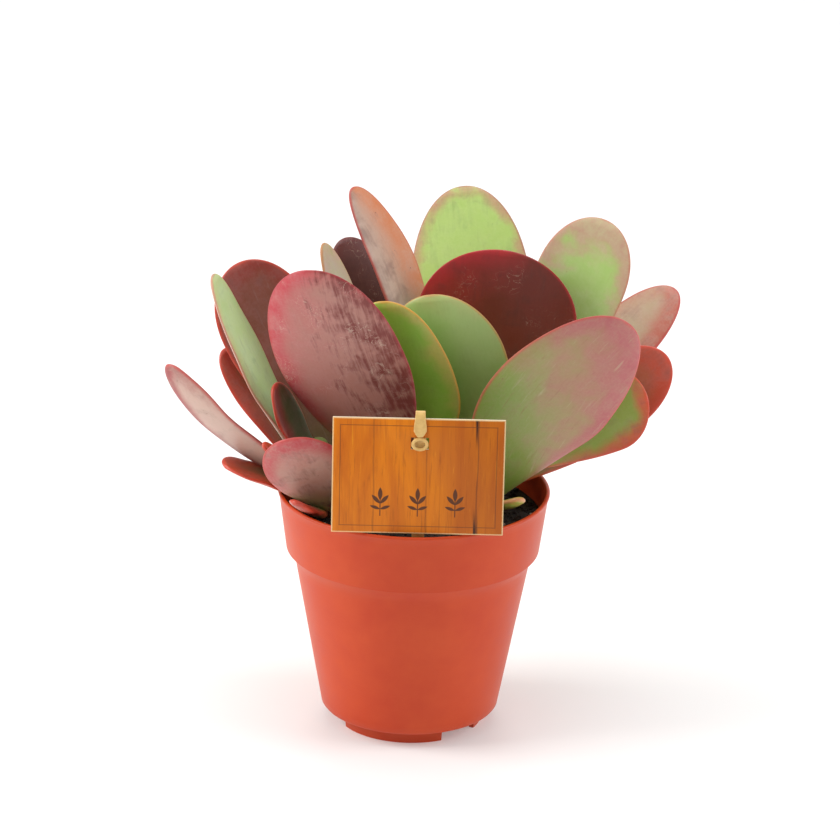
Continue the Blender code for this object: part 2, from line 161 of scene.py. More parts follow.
class Paint:
    """One material while it is being put together."""

    def __init__(self, name: str) -> None:
        """Starts a material with a Principled shader."""
        self.material = bpy.data.materials.new(name)
        self.material.use_nodes = True
        self.tree = self.material.node_tree
        self.shader = self.tree.nodes["Principled BSDF"]

    def node(self, kind: str, settings: dict, inputs: dict) -> bpy.types.Node:
        """Adds a node.

        Args:
            kind: The node's type.
            settings: Its settings, set first.
            inputs: A value, a colour, a socket or a Number for each input, by name or index.

        Returns:
            The node.
        """
        made = self.tree.nodes.new(kind)
        for key, value in settings.items():
            setattr(made, key, value)
        for key, value in inputs.items():
            self.feed(made.inputs[key], value)
        return made

    def feed(self, socket: bpy.types.NodeSocket, value: object) -> None:
        """Links or sets one input socket.

        Args:
            socket: The input.
            value: A Number, a socket, a number or a colour.
        """
        if isinstance(value, Number):
            value = value.socket
        if isinstance(value, bpy.types.NodeSocket):
            self.tree.links.new(value, socket)
        elif isinstance(value, tuple) and len(value) == 3 and socket.type == "RGBA":
            socket.default_value = (*value, 1.0)
        else:
            socket.default_value = value

    def attribute(self, name: str) -> Number:
        """Returns a named attribute of the piece as a number."""
        return Number(self, self.node("ShaderNodeAttribute", {"attribute_name": name}, {}).outputs["Fac"])

    def place(self) -> tuple[Number, Number, Number]:
        """Returns the surface point's place in millimetres, as three numbers."""
        coordinates = self.node("ShaderNodeTexCoord", {}, {})
        parts = self.node("ShaderNodeSeparateXYZ", {}, {0: coordinates.outputs["Object"]})
        return tuple(Number(self, parts.outputs[i]) * 1000.0 for i in range(3))

    def join(self, x: object, y: object, z: object) -> bpy.types.NodeSocket:
        """Returns three numbers as one vector."""
        return self.node("ShaderNodeCombineXYZ", {}, {0: x, 1: y, 2: z}).outputs[0]

    def noise(self, where: bpy.types.NodeSocket, scale: float, detail: float = 3.0, rough: float = 0.55,
              twist: float = 0.0) -> Number:
        """Adds a soft noise around 0.5.

        Args:
            where: The vector that it reads.
            scale: How fine it is.
            detail: How many octaves it has.
            rough: How strong the fine octaves are.
            twist: How much it is warped.

        Returns:
            The noise.
        """
        values = {"Vector": where, "Scale": scale, "Detail": detail, "Roughness": rough, "Distortion": twist}
        return Number(self, self.node("ShaderNodeTexNoise", {}, values).outputs[0])

    def cells(self, where: bpy.types.NodeSocket, scale: float) -> Number:
        """Returns the distance to the nearest of many scattered points."""
        values = {"Vector": where, "Scale": scale}
        return Number(self, self.node("ShaderNodeTexVoronoi", {}, values).outputs["Distance"])

    def mix(self, share: object, first: object, second: object) -> bpy.types.NodeSocket:
        """Mixes two colours.

        Args:
            share: How much of the second shows.
            first: A colour or a colour socket.
            second: A colour or a colour socket.

        Returns:
            The mixed colour.
        """
        values = {0: share, 6: first, 7: second}
        return self.node("ShaderNodeMix", {"data_type": "RGBA"}, values).outputs[2]

    def bump(self, height: Number, distance: float, strength: float = 1.0) -> None:
        """Raises the surface by the height, which is 0 to 1 of this distance in millimetres."""
        values = {"Height": height, "Distance": distance * MM, "Strength": strength}
        self.feed(self.shader.inputs["Normal"], self.node("ShaderNodeBump", {}, values).outputs[0])

    def finish(self, colour: object, roughness: object, coat: float = 0.0,
               **constants: float) -> bpy.types.Material:
        """Feeds the shader.

        Args:
            colour: The base colour.
            roughness: The roughness.
            coat: The clear coat's weight.
            constants: Further sockets, by name with _ for a space, set to a fixed value.

        Returns:
            The finished material.
        """
        self.feed(self.shader.inputs["Base Color"], colour)
        self.feed(self.shader.inputs["Roughness"], roughness)
        self.shader.inputs["Coat Weight"].default_value = coat
        self.shader.inputs["Coat Roughness"].default_value = 0.28
        for name, value in constants.items():
            self.shader.inputs[name.replace("_", " ")].default_value = value
        return self.material


def add_piece(name: str, points: np.ndarray, faces: list | np.ndarray,
              material: bpy.types.Material, stands_for: tuple[str, ...] = (),
              sharp: float = 50.0) -> bpy.types.Object:
    """Makes one finished piece of the object.

    Args:
        name: The piece's name.
        points: Its points in millimetres about the pot's axis.
        faces: Its faces, as index lists.
        material: Its material.
        stands_for: The CAD nodes that it replaces.
        sharp: The angle past which an edge stays crisp.

    Returns:
        The object.
    """
    mesh = bpy.data.meshes.new(name)
    flat = faces.tolist() if isinstance(faces, np.ndarray) else faces
    mesh.from_pydata(((points + PLACE) * MM).tolist(), [], flat)
    mesh.materials.append(material)
    mesh.shade_smooth()
    mesh.set_sharp_from_angle(angle=math.radians(sharp))
    mesh.update()
    piece = bpy.data.objects.new(name, mesh)
    bpy.context.scene.collection.objects.link(piece)
    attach(piece, "root")
    if stands_for:
        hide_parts(*stands_for)
    return piece


def grid_faces(rows: int, columns: int, around: bool = True, closed_rows: bool = False) -> np.ndarray:
    """Lists the quads of a grid of points, row by row.

    Args:
        rows: How many rows of points there are.
        columns: How many points a row has.
        around: Whether each row closes on itself.
        closed_rows: Whether the last row joins the first.

    Returns:
        The quads as point indices, one row of four each.
    """
    last_row = rows if closed_rows else rows - 1
    last_column = columns if around else columns - 1
    i, j = np.meshgrid(np.arange(last_row), np.arange(last_column), indexing="ij")
    after_i, after_j = (i + 1) % rows, (j + 1) % columns
    quads = [i * columns + j, i * columns + after_j, after_i * columns + after_j, after_i * columns + j]
    return np.stack(quads, axis=-1).reshape(-1, 4)


def capped(points: np.ndarray, rows: int, columns: int,
           ends: tuple[np.ndarray, np.ndarray]) -> tuple[np.ndarray, list]:
    """Closes a tube of rings with a fan of triangles at each end.

    Args:
        points: The rings, rows by columns by 3.
        rows: How many rings there are.
        columns: How many points a ring has.
        ends: The middle point of the first and of the last fan.

    Returns:
        All points, and all faces as lists.
    """
    faces = grid_faces(rows, columns).tolist()
    flat = points.reshape(-1, 3)
    j = np.arange(columns)
    after = (j + 1) % columns
    first = np.full(columns, len(flat))
    last = first + 1
    low = (rows - 1) * columns
    faces += np.stack([first, after, j], axis=1).tolist()
    faces += np.stack([last, low + j, low + after], axis=1).tolist()
    return np.vstack([flat, ends[0], ends[1]]), faces


def turned_outward(points: np.ndarray, faces: list) -> list:
    """Turns every face round where the closed body's volume comes out negative.

    Args:
        points: The points.
        faces: The faces, each with three or four indices.

    Returns:
        The faces, pointing outwards.
    """
    volume = 0.0
    for count in (3, 4):
        chosen = np.array([f for f in faces if len(f) == count], dtype=int).reshape(-1, count)
        for k in range(1, count - 1):
            a, b, c = points[chosen[:, 0]], points[chosen[:, k]], points[chosen[:, k + 1]]
            volume += float(np.einsum("ij,ij->", a, np.cross(b, c)))
    return faces if volume > 0 else [f[::-1] for f in faces]


class Skin(Enum):
    """The record's material slots for leaves."""

    PINK = "leaf_pink"
    RED = "leaf_red"
    GREEN = "leaf_green"
    GREY_GREEN = "leaf_grey_green"


@dataclass(frozen=True)
class LeafFinish:
    """The colouring of one leaf: a body colour under a blush, powder, blotches and a rim line.

    A share runs from 0 to 1. The fields on blush, blotch and foot that name a place say how much the tip, the
    rim or one side counts. Scales are those of the noises, per millimetre.
    """

    slot: Skin
    body: Colour
    blush: Colour
    foot: Colour = paint_colour(176, 190, 120)
    foot_reach: float = 0.35
    foot_side: float = 0.0
    tip_blush: float = 0.9
    rim_blush: float = 0.5
    side_blush: float = 0.0
    loose_blush: float = 0.5
    blush_start: float = 0.75
    blush_soft: float = 0.35
    blotch: Colour = paint_colour(105, 52, 44)
    blotch_share: float = 0.0
    blotch_side: float = 0.0
    blotch_tip: float = 0.0
    powder: float = 0.25
    powder_colour: Colour = paint_colour(203, 186, 180)
    rim: Colour = paint_colour(176, 70, 60)
    rim_width: float = 0.9
    rim_share: float = 0.8
    streaks: float = 0.25
    flecks: float = 0.4
    specks: float = 0.4
    cracks: float = 0.0
    crack: Colour = paint_colour(214, 190, 170)
    back: Colour = paint_colour(190, 165, 150)
    back_share: float = 0.0
    roughness: float = 0.46
    coat: float = 0.08
    cloud_scale: float = 0.045
    patch_scale: float = 0.13
    grain_scale: float = 0.9
    line_scale: float = 0.42
    speck_scale: float = 0.28
    crack_scale: float = 0.22
    rim_reach: float = 12.0
    powder_range: tuple[float, float] = (0.42, 0.82)
    blotch_range: tuple[float, float] = (0.55, 0.95)
    relief: float = 0.35

    def material(self, name: str, seed: float) -> bpy.types.Material:
        """Paints the leaf.

        Blush is high where a weighted sum of the way along, the nearness of the margin, the side and a
        noise passes a threshold. Powder and blotches are noises past thresholds of their own, streaks are a
        noise drawn out along the blade, specks lie at scattered points, and cracks where a noise crosses its
        middle value.

        Args:
            name: The material's name.
            seed: A number that shifts the noises, so that no two leaves match.

        Returns:
            The material.
        """
        paint = Paint(name)
        along = paint.attribute("along")
        across = paint.attribute("across")
        margin = paint.attribute("margin")
        inner = paint.attribute("inner")
        x, y = paint.attribute("across_mm"), paint.attribute("along_mm")
        skin = paint.join(x, y, inner * 40.0 + seed)
        stretched = paint.join(x * 1.6, y * 0.16, inner * 40.0 + seed)
        clouds = paint.noise(skin, self.cloud_scale, 3.0, 0.5, 0.6)
        patches = paint.noise(skin, self.patch_scale, 4.0, 0.52, 0.5)
        grain = paint.noise(skin, self.grain_scale, 4.0, 0.6)
        lines = paint.noise(stretched, self.line_scale, 4.0, 0.6, 0.3)
        near_rim = margin.rise(self.rim_reach, 0.0)

        pull = along * self.tip_blush + near_rim * self.rim_blush + across * self.side_blush
        pull = pull + (clouds - 0.5) * (2.0 * self.loose_blush) + (patches - 0.5) * self.loose_blush
        blush = pull.rise(self.blush_start - self.blush_soft, self.blush_start + self.blush_soft)
        colour = paint.mix(blush, self.body, self.blush)
        up = along + (clouds - 0.5) * 0.3 - across * self.foot_side
        foot = up.rise(self.foot_reach, self.foot_reach * 0.25)
        colour = paint.mix(foot * 0.8, colour, self.foot)
        colour = paint.mix((1.0 - inner) * self.back_share, colour, self.back)
        dusty = patches * 0.5 + grain * 0.25 + clouds * 0.4
        powder = dusty.rise(*self.powder_range) * self.powder
        colour = paint.mix(powder, colour, self.powder_colour)
        colour = paint.mix(lines.rise(0.56, 0.78) * self.streaks * 0.6, colour, self.powder_colour)
        colour = paint.mix(lines.rise(0.42, 0.25) * self.streaks * 0.4, colour, self.blotch)
        blotch_pull = patches * 0.9 + clouds * 0.3 + (lines - 0.5) * self.flecks
        blotch_pull = blotch_pull + across * self.blotch_side + along * self.blotch_tip
        colour = paint.mix(blotch_pull.rise(*self.blotch_range) * self.blotch_share, colour, self.blotch)
        specks = paint.cells(skin, self.speck_scale).rise(0.09, 0.045) * patches.rise(0.5, 0.62)
        colour = paint.mix(specks * self.specks, colour, self.blotch)
        veins = abs(paint.noise(skin, self.crack_scale, 3.0, 0.5, 1.2) - 0.5)
        cracks = veins.rise(0.016, 0.004) * clouds.rise(0.5, 0.62)
        colour = paint.mix(cracks * self.cracks, colour, self.crack)
        line = (margin + (grain - 0.5) * 0.6).rise(self.rim_width * 1.8, 0.0)
        colour = paint.mix(line * self.rim_share, colour, self.rim)

        roughness = self.roughness + (patches - 0.5) * 0.18 + powder * 0.25
        height = patches * 0.5 + grain * 0.18 + lines * 0.25
        paint.bump(height, self.relief, 0.55)
        return paint.finish(colour, roughness, self.coat, Subsurface_Weight=0.06, Subsurface_Scale=0.004)


@dataclass(frozen=True)
class Stem:
    """One fleshy stem that leans from its foot, at STEM_LEVEL, to its top, where a dome closes it.

    The dome is a share of the top radius high.
    """

    name: str
    foot: tuple[float, float]
    top: tuple[float, float, float]
    foot_radius: float
    top_radius: float
    hole_foot: float = 78.3
    scar_depth: float = 0.25
    scar_spacing: float = 9.0
    dome: float = 0.8
    sides: int = 48
    rings: int = 90

    def at(self, height: float) -> tuple[np.ndarray, float]:
        """Finds the stem's middle and radius at a height.

        Args:
            height: The height above the ground.

        Returns:
            The middle point and the radius.
        """
        k = (height - STEM_LEVEL) / (self.top[2] - STEM_LEVEL)
        start = np.array([*self.foot, STEM_LEVEL])
        radius = self.foot_radius + (self.top_radius - self.foot_radius) * k
        return start + (np.array(self.top) - start) * k, radius

    def build(self, material: bpy.types.Material) -> bpy.types.Object:
        """Makes the stem: circles carried up the lean, with shallow leaf scars, closing in a dome.

        The radius falls evenly with height, less a scar where a sine of the height peaks, and in the dome it
        is the top radius times the square root of one less the climb squared.

        Args:
            material: The stem's skin.

        Returns:
            The piece.
        """
        dome = self.dome * self.top_radius
        heights = np.linspace(self.hole_foot, self.top[2] + dome * 0.999, self.rings)
        k = (heights - STEM_LEVEL) / (self.top[2] - STEM_LEVEL)
        start = np.array([*self.foot, STEM_LEVEL])
        middles = start + (np.array(self.top) - start) * np.minimum(k, 1.0)[:, None]
        middles[:, 2] = heights
        radius = self.foot_radius + (self.top_radius - self.foot_radius) * np.minimum(k, 1.0)
        scar = self.scar_depth * np.maximum(0.0, np.sin(heights * 2 * np.pi / self.scar_spacing)) ** 8
        climb = np.clip((heights - self.top[2]) / dome, 0.0, 1.0)
        radius = (radius - scar) * np.sqrt(1.0 - climb**2)
        turn = np.arange(self.sides) * 2 * np.pi / self.sides
        circle = np.stack([np.cos(turn), np.sin(turn), np.zeros(self.sides)], axis=1)
        rings = middles[:, None] + circle[None] * radius[:, None, None]
        points, faces = capped(rings, self.rings, self.sides, (middles[0], middles[-1]))
        name = f"stem_{self.name}"
        return add_piece(f"{name}_skin", points, turned_outward(points, faces), material, (name,))


STEMS = {
    "main": Stem("main", (-4.0, 4.0), (9.0, 10.0, 152.0), 6.5, 4.5),
    "left": Stem("left", (-34.0, -4.0), (-42.0, 0.0, 128.0), 5.5, 4.0),
    "right": Stem("right", (30.0, 2.0), (36.0, 6.0, 128.5), 5.5, 4.0),
}


@dataclass(frozen=True)
class Leaf:
    """One paddle-shaped leaf: where it leaves its stem, where its tip is, and how its blade lies.

    It leaves the stem at a height and in a direction round it. Its inner face looks the way of face, which is
    the turn from +X and the tilt. Bow pushes the rib away from that face and sweep sideways, as shares of its
    length. Widest is the way along to the greatest width. The neck's reach and share keep it off the stem.
    """

    name: str
    stem: str
    height: float
    direction: float
    tip: tuple[float, float, float]
    width: float
    face: tuple[float, float]
    bow: float
    sweep: float
    widest: float
    finish: LeafFinish
    thickness: float = 4.0
    swell_at_neck: float = 1.25
    swell_lost: float = 0.6
    edge_roundness: float = 2.5
    tip_power: float = 2.2
    tip_fade: float = 0.03
    neck: float = 9.0
    neck_reach: float = 2.0
    neck_share: float = 0.36
    neck_gap: float = GAP + 0.1
    cup: float = 0.06
    ripple: float = 0.5
    sections: int = 64
    half_points: int = 22

    def seat(self) -> tuple[np.ndarray, np.ndarray, np.ndarray]:
        """Finds where the blade starts beside its stem.

        The start lies the stem's radius, a gap and the neck's own reach out from the stem's middle. It turns
        the blade a little, and the blade's turn moves it, so this is worked out three times over.

        Returns:
            The start, the way that the inner face looks there, and the way across the blade.
        """
        middle, radius = STEMS[self.stem].at(self.height)
        tip = np.array(self.tip)
        outward = heading(self.direction)
        base = middle + outward * radius
        for _ in range(3):
            along = unit(tip - base)
            inner = heading(*self.face)
            inner = unit(inner - along * (inner @ along))
            across = np.cross(along, inner)
            neck = min(self.neck, 0.5 * self.width)
            reach = self.neck_reach * abs(inner @ outward) + self.neck_share * neck * abs(across @ outward)
            base = middle + outward * (radius + self.neck_gap + reach)
        return base, inner, across

    def half_width(self, t: np.ndarray) -> np.ndarray:
        """Works out half the blade's width along its rib.

        Up to the widest place it rises as a quarter of a sine from the neck's share, and from there it
        closes as a rounded superellipse, the square root of one less a power of the way to the tip.

        Args:
            t: The way along the rib, 0 to 1.

        Returns:
            Half the width, in millimetres.
        """
        neck = min(0.5, self.neck / self.width)
        lower = neck + (1 - neck) * np.sin(np.pi / 2 * np.clip(t / self.widest, 0, 1))
        upper = np.sqrt(1 - np.clip((t - self.widest) / (1 - self.widest), 0, 1) ** self.tip_power)
        return self.width / 2 * np.where(t < self.widest, lower, upper)

    def surface(self, seed: int) -> tuple[np.ndarray, list, dict[str, np.ndarray]]:
        """Works out the blade on a grid of the way along by the way round its section.

        The rib is a quadratic Bezier curve from the neck to the tip through a bend that bow and sweep push
        out. Across it the sheet cups by the square of the way across, ripples near its margin by slow
        sines, and has a thickness that tapers to the tip and rounds off at the margin.

        Args:
            seed: Shifts the ripples.

        Returns:
            The points, the faces and the attributes that the paint reads.
        """
        base, inner, across = self.seat()
        tip = np.array(self.tip)
        length = float(np.linalg.norm(tip - base))
        bend = (base + tip) / 2 - inner * self.bow * length + across * self.sweep * length
        t = np.sin(np.linspace(0, 1, self.sections) * np.pi / 2) * 0.9995
        k = t[:, None]
        rib = (1 - k) ** 2 * base + 2 * k * (1 - k) * bend + k**2 * tip
        along = unit((1 - k) * (bend - base) + k * (tip - bend))
        normal = unit(inner - along * (along @ inner)[:, None])
        side = np.cross(along, normal)
        half = self.half_width(t)
        swell = self.swell_at_neck - self.swell_lost * t
        thickness = self.thickness * swell * np.clip((1.0 - t) / self.tip_fade, 0.0, 1.0) ** 0.5
        s = np.sin(np.linspace(-1, 1, 2 * self.half_points + 1) * np.pi / 2)
        s = np.concatenate([s, s[-2:0:-1]])
        upper = np.concatenate([np.ones(2 * self.half_points + 1), -np.ones(2 * self.half_points - 1)])
        rounded = np.sqrt(np.maximum(0.0, 1 - np.abs(s) ** self.edge_roundness))
        phase = seed * 1.7
        slow, quick = np.sin(t * 9.0 + phase)[:, None], np.sin(t * 17.0 + 2.3 * phase)[:, None]
        wave = slow * s + 0.6 * quick * np.abs(s)
        ripple = self.ripple * wave * (np.abs(s) ** 3) * np.sin(np.pi * np.clip(t, 0, 1))[:, None]
        lift = self.cup * half[:, None] * s**2 + ripple
        lift = lift + upper * rounded * (thickness / 2)[:, None]
        out = side[:, None] * (half[:, None] * s)[..., None]
        grid = rib[:, None] + out + normal[:, None] * lift[..., None]
        rows, columns = grid.shape[:2]
        points, faces = capped(grid, rows, columns, (grid[0].mean(axis=0), rib[-1] + along[-1] * 0.05))
        to_margin = np.minimum(half[:, None] * (1 - np.abs(s)), ((1 - t) * length)[:, None])
        fields = {
            "along": np.repeat(t, columns),
            "across": np.tile(s, rows),
            "margin": to_margin.reshape(-1),
            "inner": np.tile((upper + 1) / 2, rows),
            "across_mm": (half[:, None] * s).reshape(-1),
            "along_mm": np.repeat(t * length, columns),
        }
        ends = {"along": (0.0, 1.0), "along_mm": (0.0, length), "inner": (0.5, 0.5)}
        fields = {key: np.append(values, ends.get(key, (0.0, 0.0))) for key, values in fields.items()}
        return points, turned_outward(points, faces), fields

    def build(self, seed: int) -> bpy.types.Object:
        """Makes and dresses the leaf.

        Args:
            seed: The leaf's own number, for its ripples and its paint.

        Returns:
            The piece.
        """
        points, faces, fields = self.surface(seed)
        material = self.finish.material(f"{self.name} skin", 13.0 * seed)
        piece = add_piece(f"{self.name}_blade", points, faces, material, (self.name,), 80.0)
        for key, values in fields.items():
            attribute = piece.data.attributes.new(key, "FLOAT", "POINT")
            attribute.data.foreach_set("value", values.astype(np.float32))
        return piece


FRONT_LEFT = LeafFinish(
    Skin.PINK, body=paint_colour(176, 120, 108), blush=paint_colour(190, 54, 66),
    foot=paint_colour(150, 146, 108), foot_reach=0.4,
    tip_blush=0.6, side_blush=0.35, rim_blush=0.45, blush_start=0.68, blush_soft=0.45,
    blotch=paint_colour(116, 36, 30), blotch_share=0.9, blotch_side=-0.26, flecks=0.8, powder=0.5,
    powder_colour=paint_colour(192, 160, 150), rim=paint_colour(168, 44, 54), rim_share=0.6, cracks=0.5)
PALE_PINK = LeafFinish(
    Skin.PINK, body=paint_colour(186, 142, 126), blush=paint_colour(196, 88, 84),
    foot=paint_colour(168, 182, 112), tip_blush=0.5, blotch_share=0.35, powder=0.45,
    powder_colour=paint_colour(204, 184, 170), rim=paint_colour(186, 64, 58))
CRIMSON = LeafFinish(
    Skin.RED, body=paint_colour(106, 36, 24), blush=paint_colour(168, 30, 36),
    foot=paint_colour(116, 110, 54), foot_reach=0.25,
    tip_blush=0.45, rim_blush=0.35, loose_blush=0.35, blush_start=0.6, blush_soft=0.4,
    blotch=paint_colour(62, 26, 20), blotch_share=0.5, powder=0.06, powder_colour=paint_colour(170, 110, 96),
    rim=paint_colour(186, 40, 40), rim_width=1.1, rim_share=0.5, streaks=0.15, roughness=0.36, coat=0.12,
    cracks=0.25)
BROWN_RED = LeafFinish(
    Skin.RED, body=paint_colour(126, 92, 56), blush=paint_colour(166, 56, 38),
    foot=paint_colour(136, 152, 68), tip_blush=0.8, rim_blush=0.6, loose_blush=0.5,
    blotch=paint_colour(86, 42, 30), blotch_share=0.4, powder=0.12,
    rim=paint_colour(200, 64, 38), rim_width=1.1, streaks=0.2, roughness=0.4, coat=0.12)
FRESH_GREEN = LeafFinish(
    Skin.GREEN, body=paint_colour(136, 186, 62), blush=paint_colour(190, 174, 84),
    foot=paint_colour(176, 200, 96), tip_blush=0.35, rim_blush=0.45, loose_blush=0.5,
    blotch=paint_colour(98, 138, 44), blotch_share=0.4,
    powder=0.25, powder_colour=paint_colour(200, 220, 120), rim=paint_colour(216, 150, 56), rim_width=0.7,
    streaks=0.15, roughness=0.42)
GREY_LEAF = LeafFinish(
    Skin.GREY_GREEN, body=paint_colour(162, 188, 112), blush=paint_colour(180, 170, 108),
    foot=paint_colour(158, 186, 96), tip_blush=0.4, rim_blush=0.3, loose_blush=0.4,
    blotch=paint_colour(128, 156, 80), blotch_share=0.35, powder=0.35,
    powder_colour=paint_colour(194, 208, 146), rim=paint_colour(190, 122, 62), rim_width=0.7, rim_share=0.7,
    streaks=0.15, roughness=0.5)


def plant_leaves() -> list[Leaf]:
    """Returns every leaf with its place and its own colouring, in the source's order."""
    return [*front_leaves(), *left_leaves(), *back_leaves()]


def front_leaves() -> list[Leaf]:
    """Returns the leaves of the middle and of the right."""
    return [
        Leaf("leaf_front_left", "main", 112, 241, (-46, -40, 222), 60, (75, 25), 0.05, 0.06, 0.60,
             FRONT_LEFT),
        Leaf("leaf_centre_green", "main", 120, 290, (-15, -20, 202), 48, (72, 10), 0.03, 0.0, 0.47,
             replace(FRESH_GREEN, side_blush=-0.2)),
        Leaf("leaf_centre_pale", "right", 116, 225, (5, -10, 202), 55, (76, 20), 0.03, 0.0, 0.58, GREY_LEAF),
        Leaf("leaf_centre_maroon", "right", 130, 150, (38, 26, 211), 71, (265, 30), 0.03, 0.0, 0.60,
             replace(CRIMSON, side_blush=-0.4)),
        Leaf("leaf_back_green", "right", 124, 130, (19, 80, 223), 54, (265, 20), 0.03, 0.0, 0.56,
             replace(FRESH_GREEN, body=paint_colour(174, 204, 108), rim=paint_colour(164, 100, 82),
                     tip_blush=0.5, blush=paint_colour(184, 132, 106), blush_start=0.9, blush_soft=0.2,
                     rim_blush=0.6, powder=0.45, powder_colour=paint_colour(206, 224, 150),
                     foot=paint_colour(150, 182, 78))),
        Leaf("leaf_right_back", "right", 127, 40, (82, 38, 222), 42, (255, 25), 0.03, 0.0, 0.72,
             replace(FRESH_GREEN, body=paint_colour(170, 202, 112), blush=paint_colour(192, 146, 126),
                     tip_blush=1.1, blush_start=1.0, blush_soft=0.2, rim_blush=0.25,
                     blotch=paint_colour(150, 60, 54), specks=0.8, blotch_share=0.0, powder=0.45,
                     powder_colour=paint_colour(204, 220, 160), rim=paint_colour(190, 120, 96))),
        Leaf("leaf_right_far", "right", 121, 78, (115, 61, 183), 31, (235, 25), 0.04, 0.0, 0.66,
             replace(PALE_PINK, body=paint_colour(184, 158, 128), blush=paint_colour(188, 98, 78),
                     side_blush=0.35, blush_start=0.6, foot=paint_colour(150, 158, 90), powder=0.5)),
        Leaf("leaf_right_red", "right", 112, 15, (110, 13, 168), 34, (249, 9), 0.08, 0.0, 0.66,
             replace(BROWN_RED, body=paint_colour(146, 100, 68), blush=paint_colour(184, 66, 40),
                     rim_width=1.3)),
        Leaf("leaf_right_low", "right", 119.4, 305, (101, -5, 155.3), 37, (272, 22), 0.06, -0.10, 0.74,
             replace(BROWN_RED, body=paint_colour(130, 146, 60), foot=paint_colour(124, 168, 54),
                     foot_reach=0.6, side_blush=0.3, tip_blush=0.5, blush_start=0.9,
                     blush=paint_colour(186, 80, 40))),
        Leaf("leaf_right_front", "right", 109, 302, (90, -36, 200), 60, (95, 30), 0.07, 0.16, 0.52,
             replace(PALE_PINK, body=paint_colour(158, 146, 92), blush=paint_colour(176, 88, 92),
                     foot=paint_colour(128, 164, 66), foot_reach=0.6, foot_side=0.35, streaks=0.8, flecks=0.7,
                     tip_blush=1.0, side_blush=-0.3, blush_start=0.72, blush_soft=0.4,
                     rim=paint_colour(196, 84, 76), blotch_share=0.25,
                     blotch=paint_colour(150, 66, 66), powder=0.3,
                     powder_colour=paint_colour(196, 186, 150))),
        Leaf("leaf_right_small", "right", 102, 283, (46, -40, 120), 11, (100, 60), 0.05, 0.0, 0.60,
             replace(FRESH_GREEN, blush=paint_colour(200, 124, 70), rim=paint_colour(214, 140, 104))),
    ]


def left_leaves() -> list[Leaf]:
    """Returns the leaves of the left stem."""
    return [
        Leaf("leaf_low_front", "left", 101.5, 310, (-54.5, -44, 147), 39, (85, 25), 0.10, 0.0, 0.60,
             replace(PALE_PINK, body=paint_colour(190, 142, 126), blush=paint_colour(188, 60, 66), powder=0.6,
                     foot=paint_colour(192, 206, 138), foot_reach=0.5, blotch=paint_colour(116, 56, 40),
                     blotch_share=0.8, tip_blush=0.8, blush_start=0.7, specks=0.7)),
        Leaf("leaf_low_edge", "left", 99.2, 232, (-50.5, -49.1, 119.9), 12, (45, 64), 0.04, 0.0, 0.60,
             replace(BROWN_RED, foot=paint_colour(128, 150, 62), foot_reach=0.6)),
        Leaf("leaf_far_left", "left", 113, 194, (-108, -6, 166), 26, (42, 20), 0.14, 0.10, 0.60,
             replace(PALE_PINK, body=paint_colour(194, 160, 146), blush=paint_colour(150, 36, 40), powder=0.6,
                     tip_blush=0.6, side_blush=0.4, blush_start=0.65, specks=0.9)),
        Leaf("leaf_low_left", "left", 105.5, 165, (-84, -11, 122.5), 24, (355, 79), 0.0, 0.0, 0.60,
             replace(BROWN_RED, foot=paint_colour(116, 146, 56), foot_reach=0.65,
                     blush=paint_colour(192, 74, 40))),
        Leaf("leaf_left_tiny", "left", 107, 234, (-65.5, -31, 139.5), 10, (300, 60), 0.0, 0.0, 0.60,
             replace(BROWN_RED, blush=paint_colour(200, 76, 36))),
        Leaf("leaf_left_red", "left", 113, 138, (-86, 30, 160.5), 21, (290, 20), 0.05, 0.06, 0.60, BROWN_RED),
        Leaf("leaf_left_pale", "left", 120, 182, (-89.5, 4, 204), 34, (350, 10), 0.05, 0.0, 0.60,
             replace(FRESH_GREEN, body=paint_colour(182, 206, 142), foot=paint_colour(186, 200, 80),
                     powder=0.6, powder_colour=paint_colour(212, 222, 192), rim=paint_colour(196, 124, 108),
                     back=paint_colour(200, 180, 170), back_share=0.8)),
        Leaf("leaf_left_brown", "left", 122, 60, (-80, 36, 199), 43, (275, 20), 0.05, 0.0, 0.66,
             replace(BROWN_RED, body=paint_colour(122, 68, 48), blush=paint_colour(140, 50, 38),
                     foot=paint_colour(112, 96, 50), powder=0.15)),
        Leaf("leaf_left_dark", "left", 117.5, 261, (-61.5, -17.5, 162), 19, (335, 10), 0.05, 0.0, 0.60,
             replace(BROWN_RED, body=paint_colour(66, 76, 38), foot=paint_colour(96, 110, 48),
                     blush=paint_colour(126, 40, 32), tip_blush=0.4, side_blush=-0.35)),
    ]


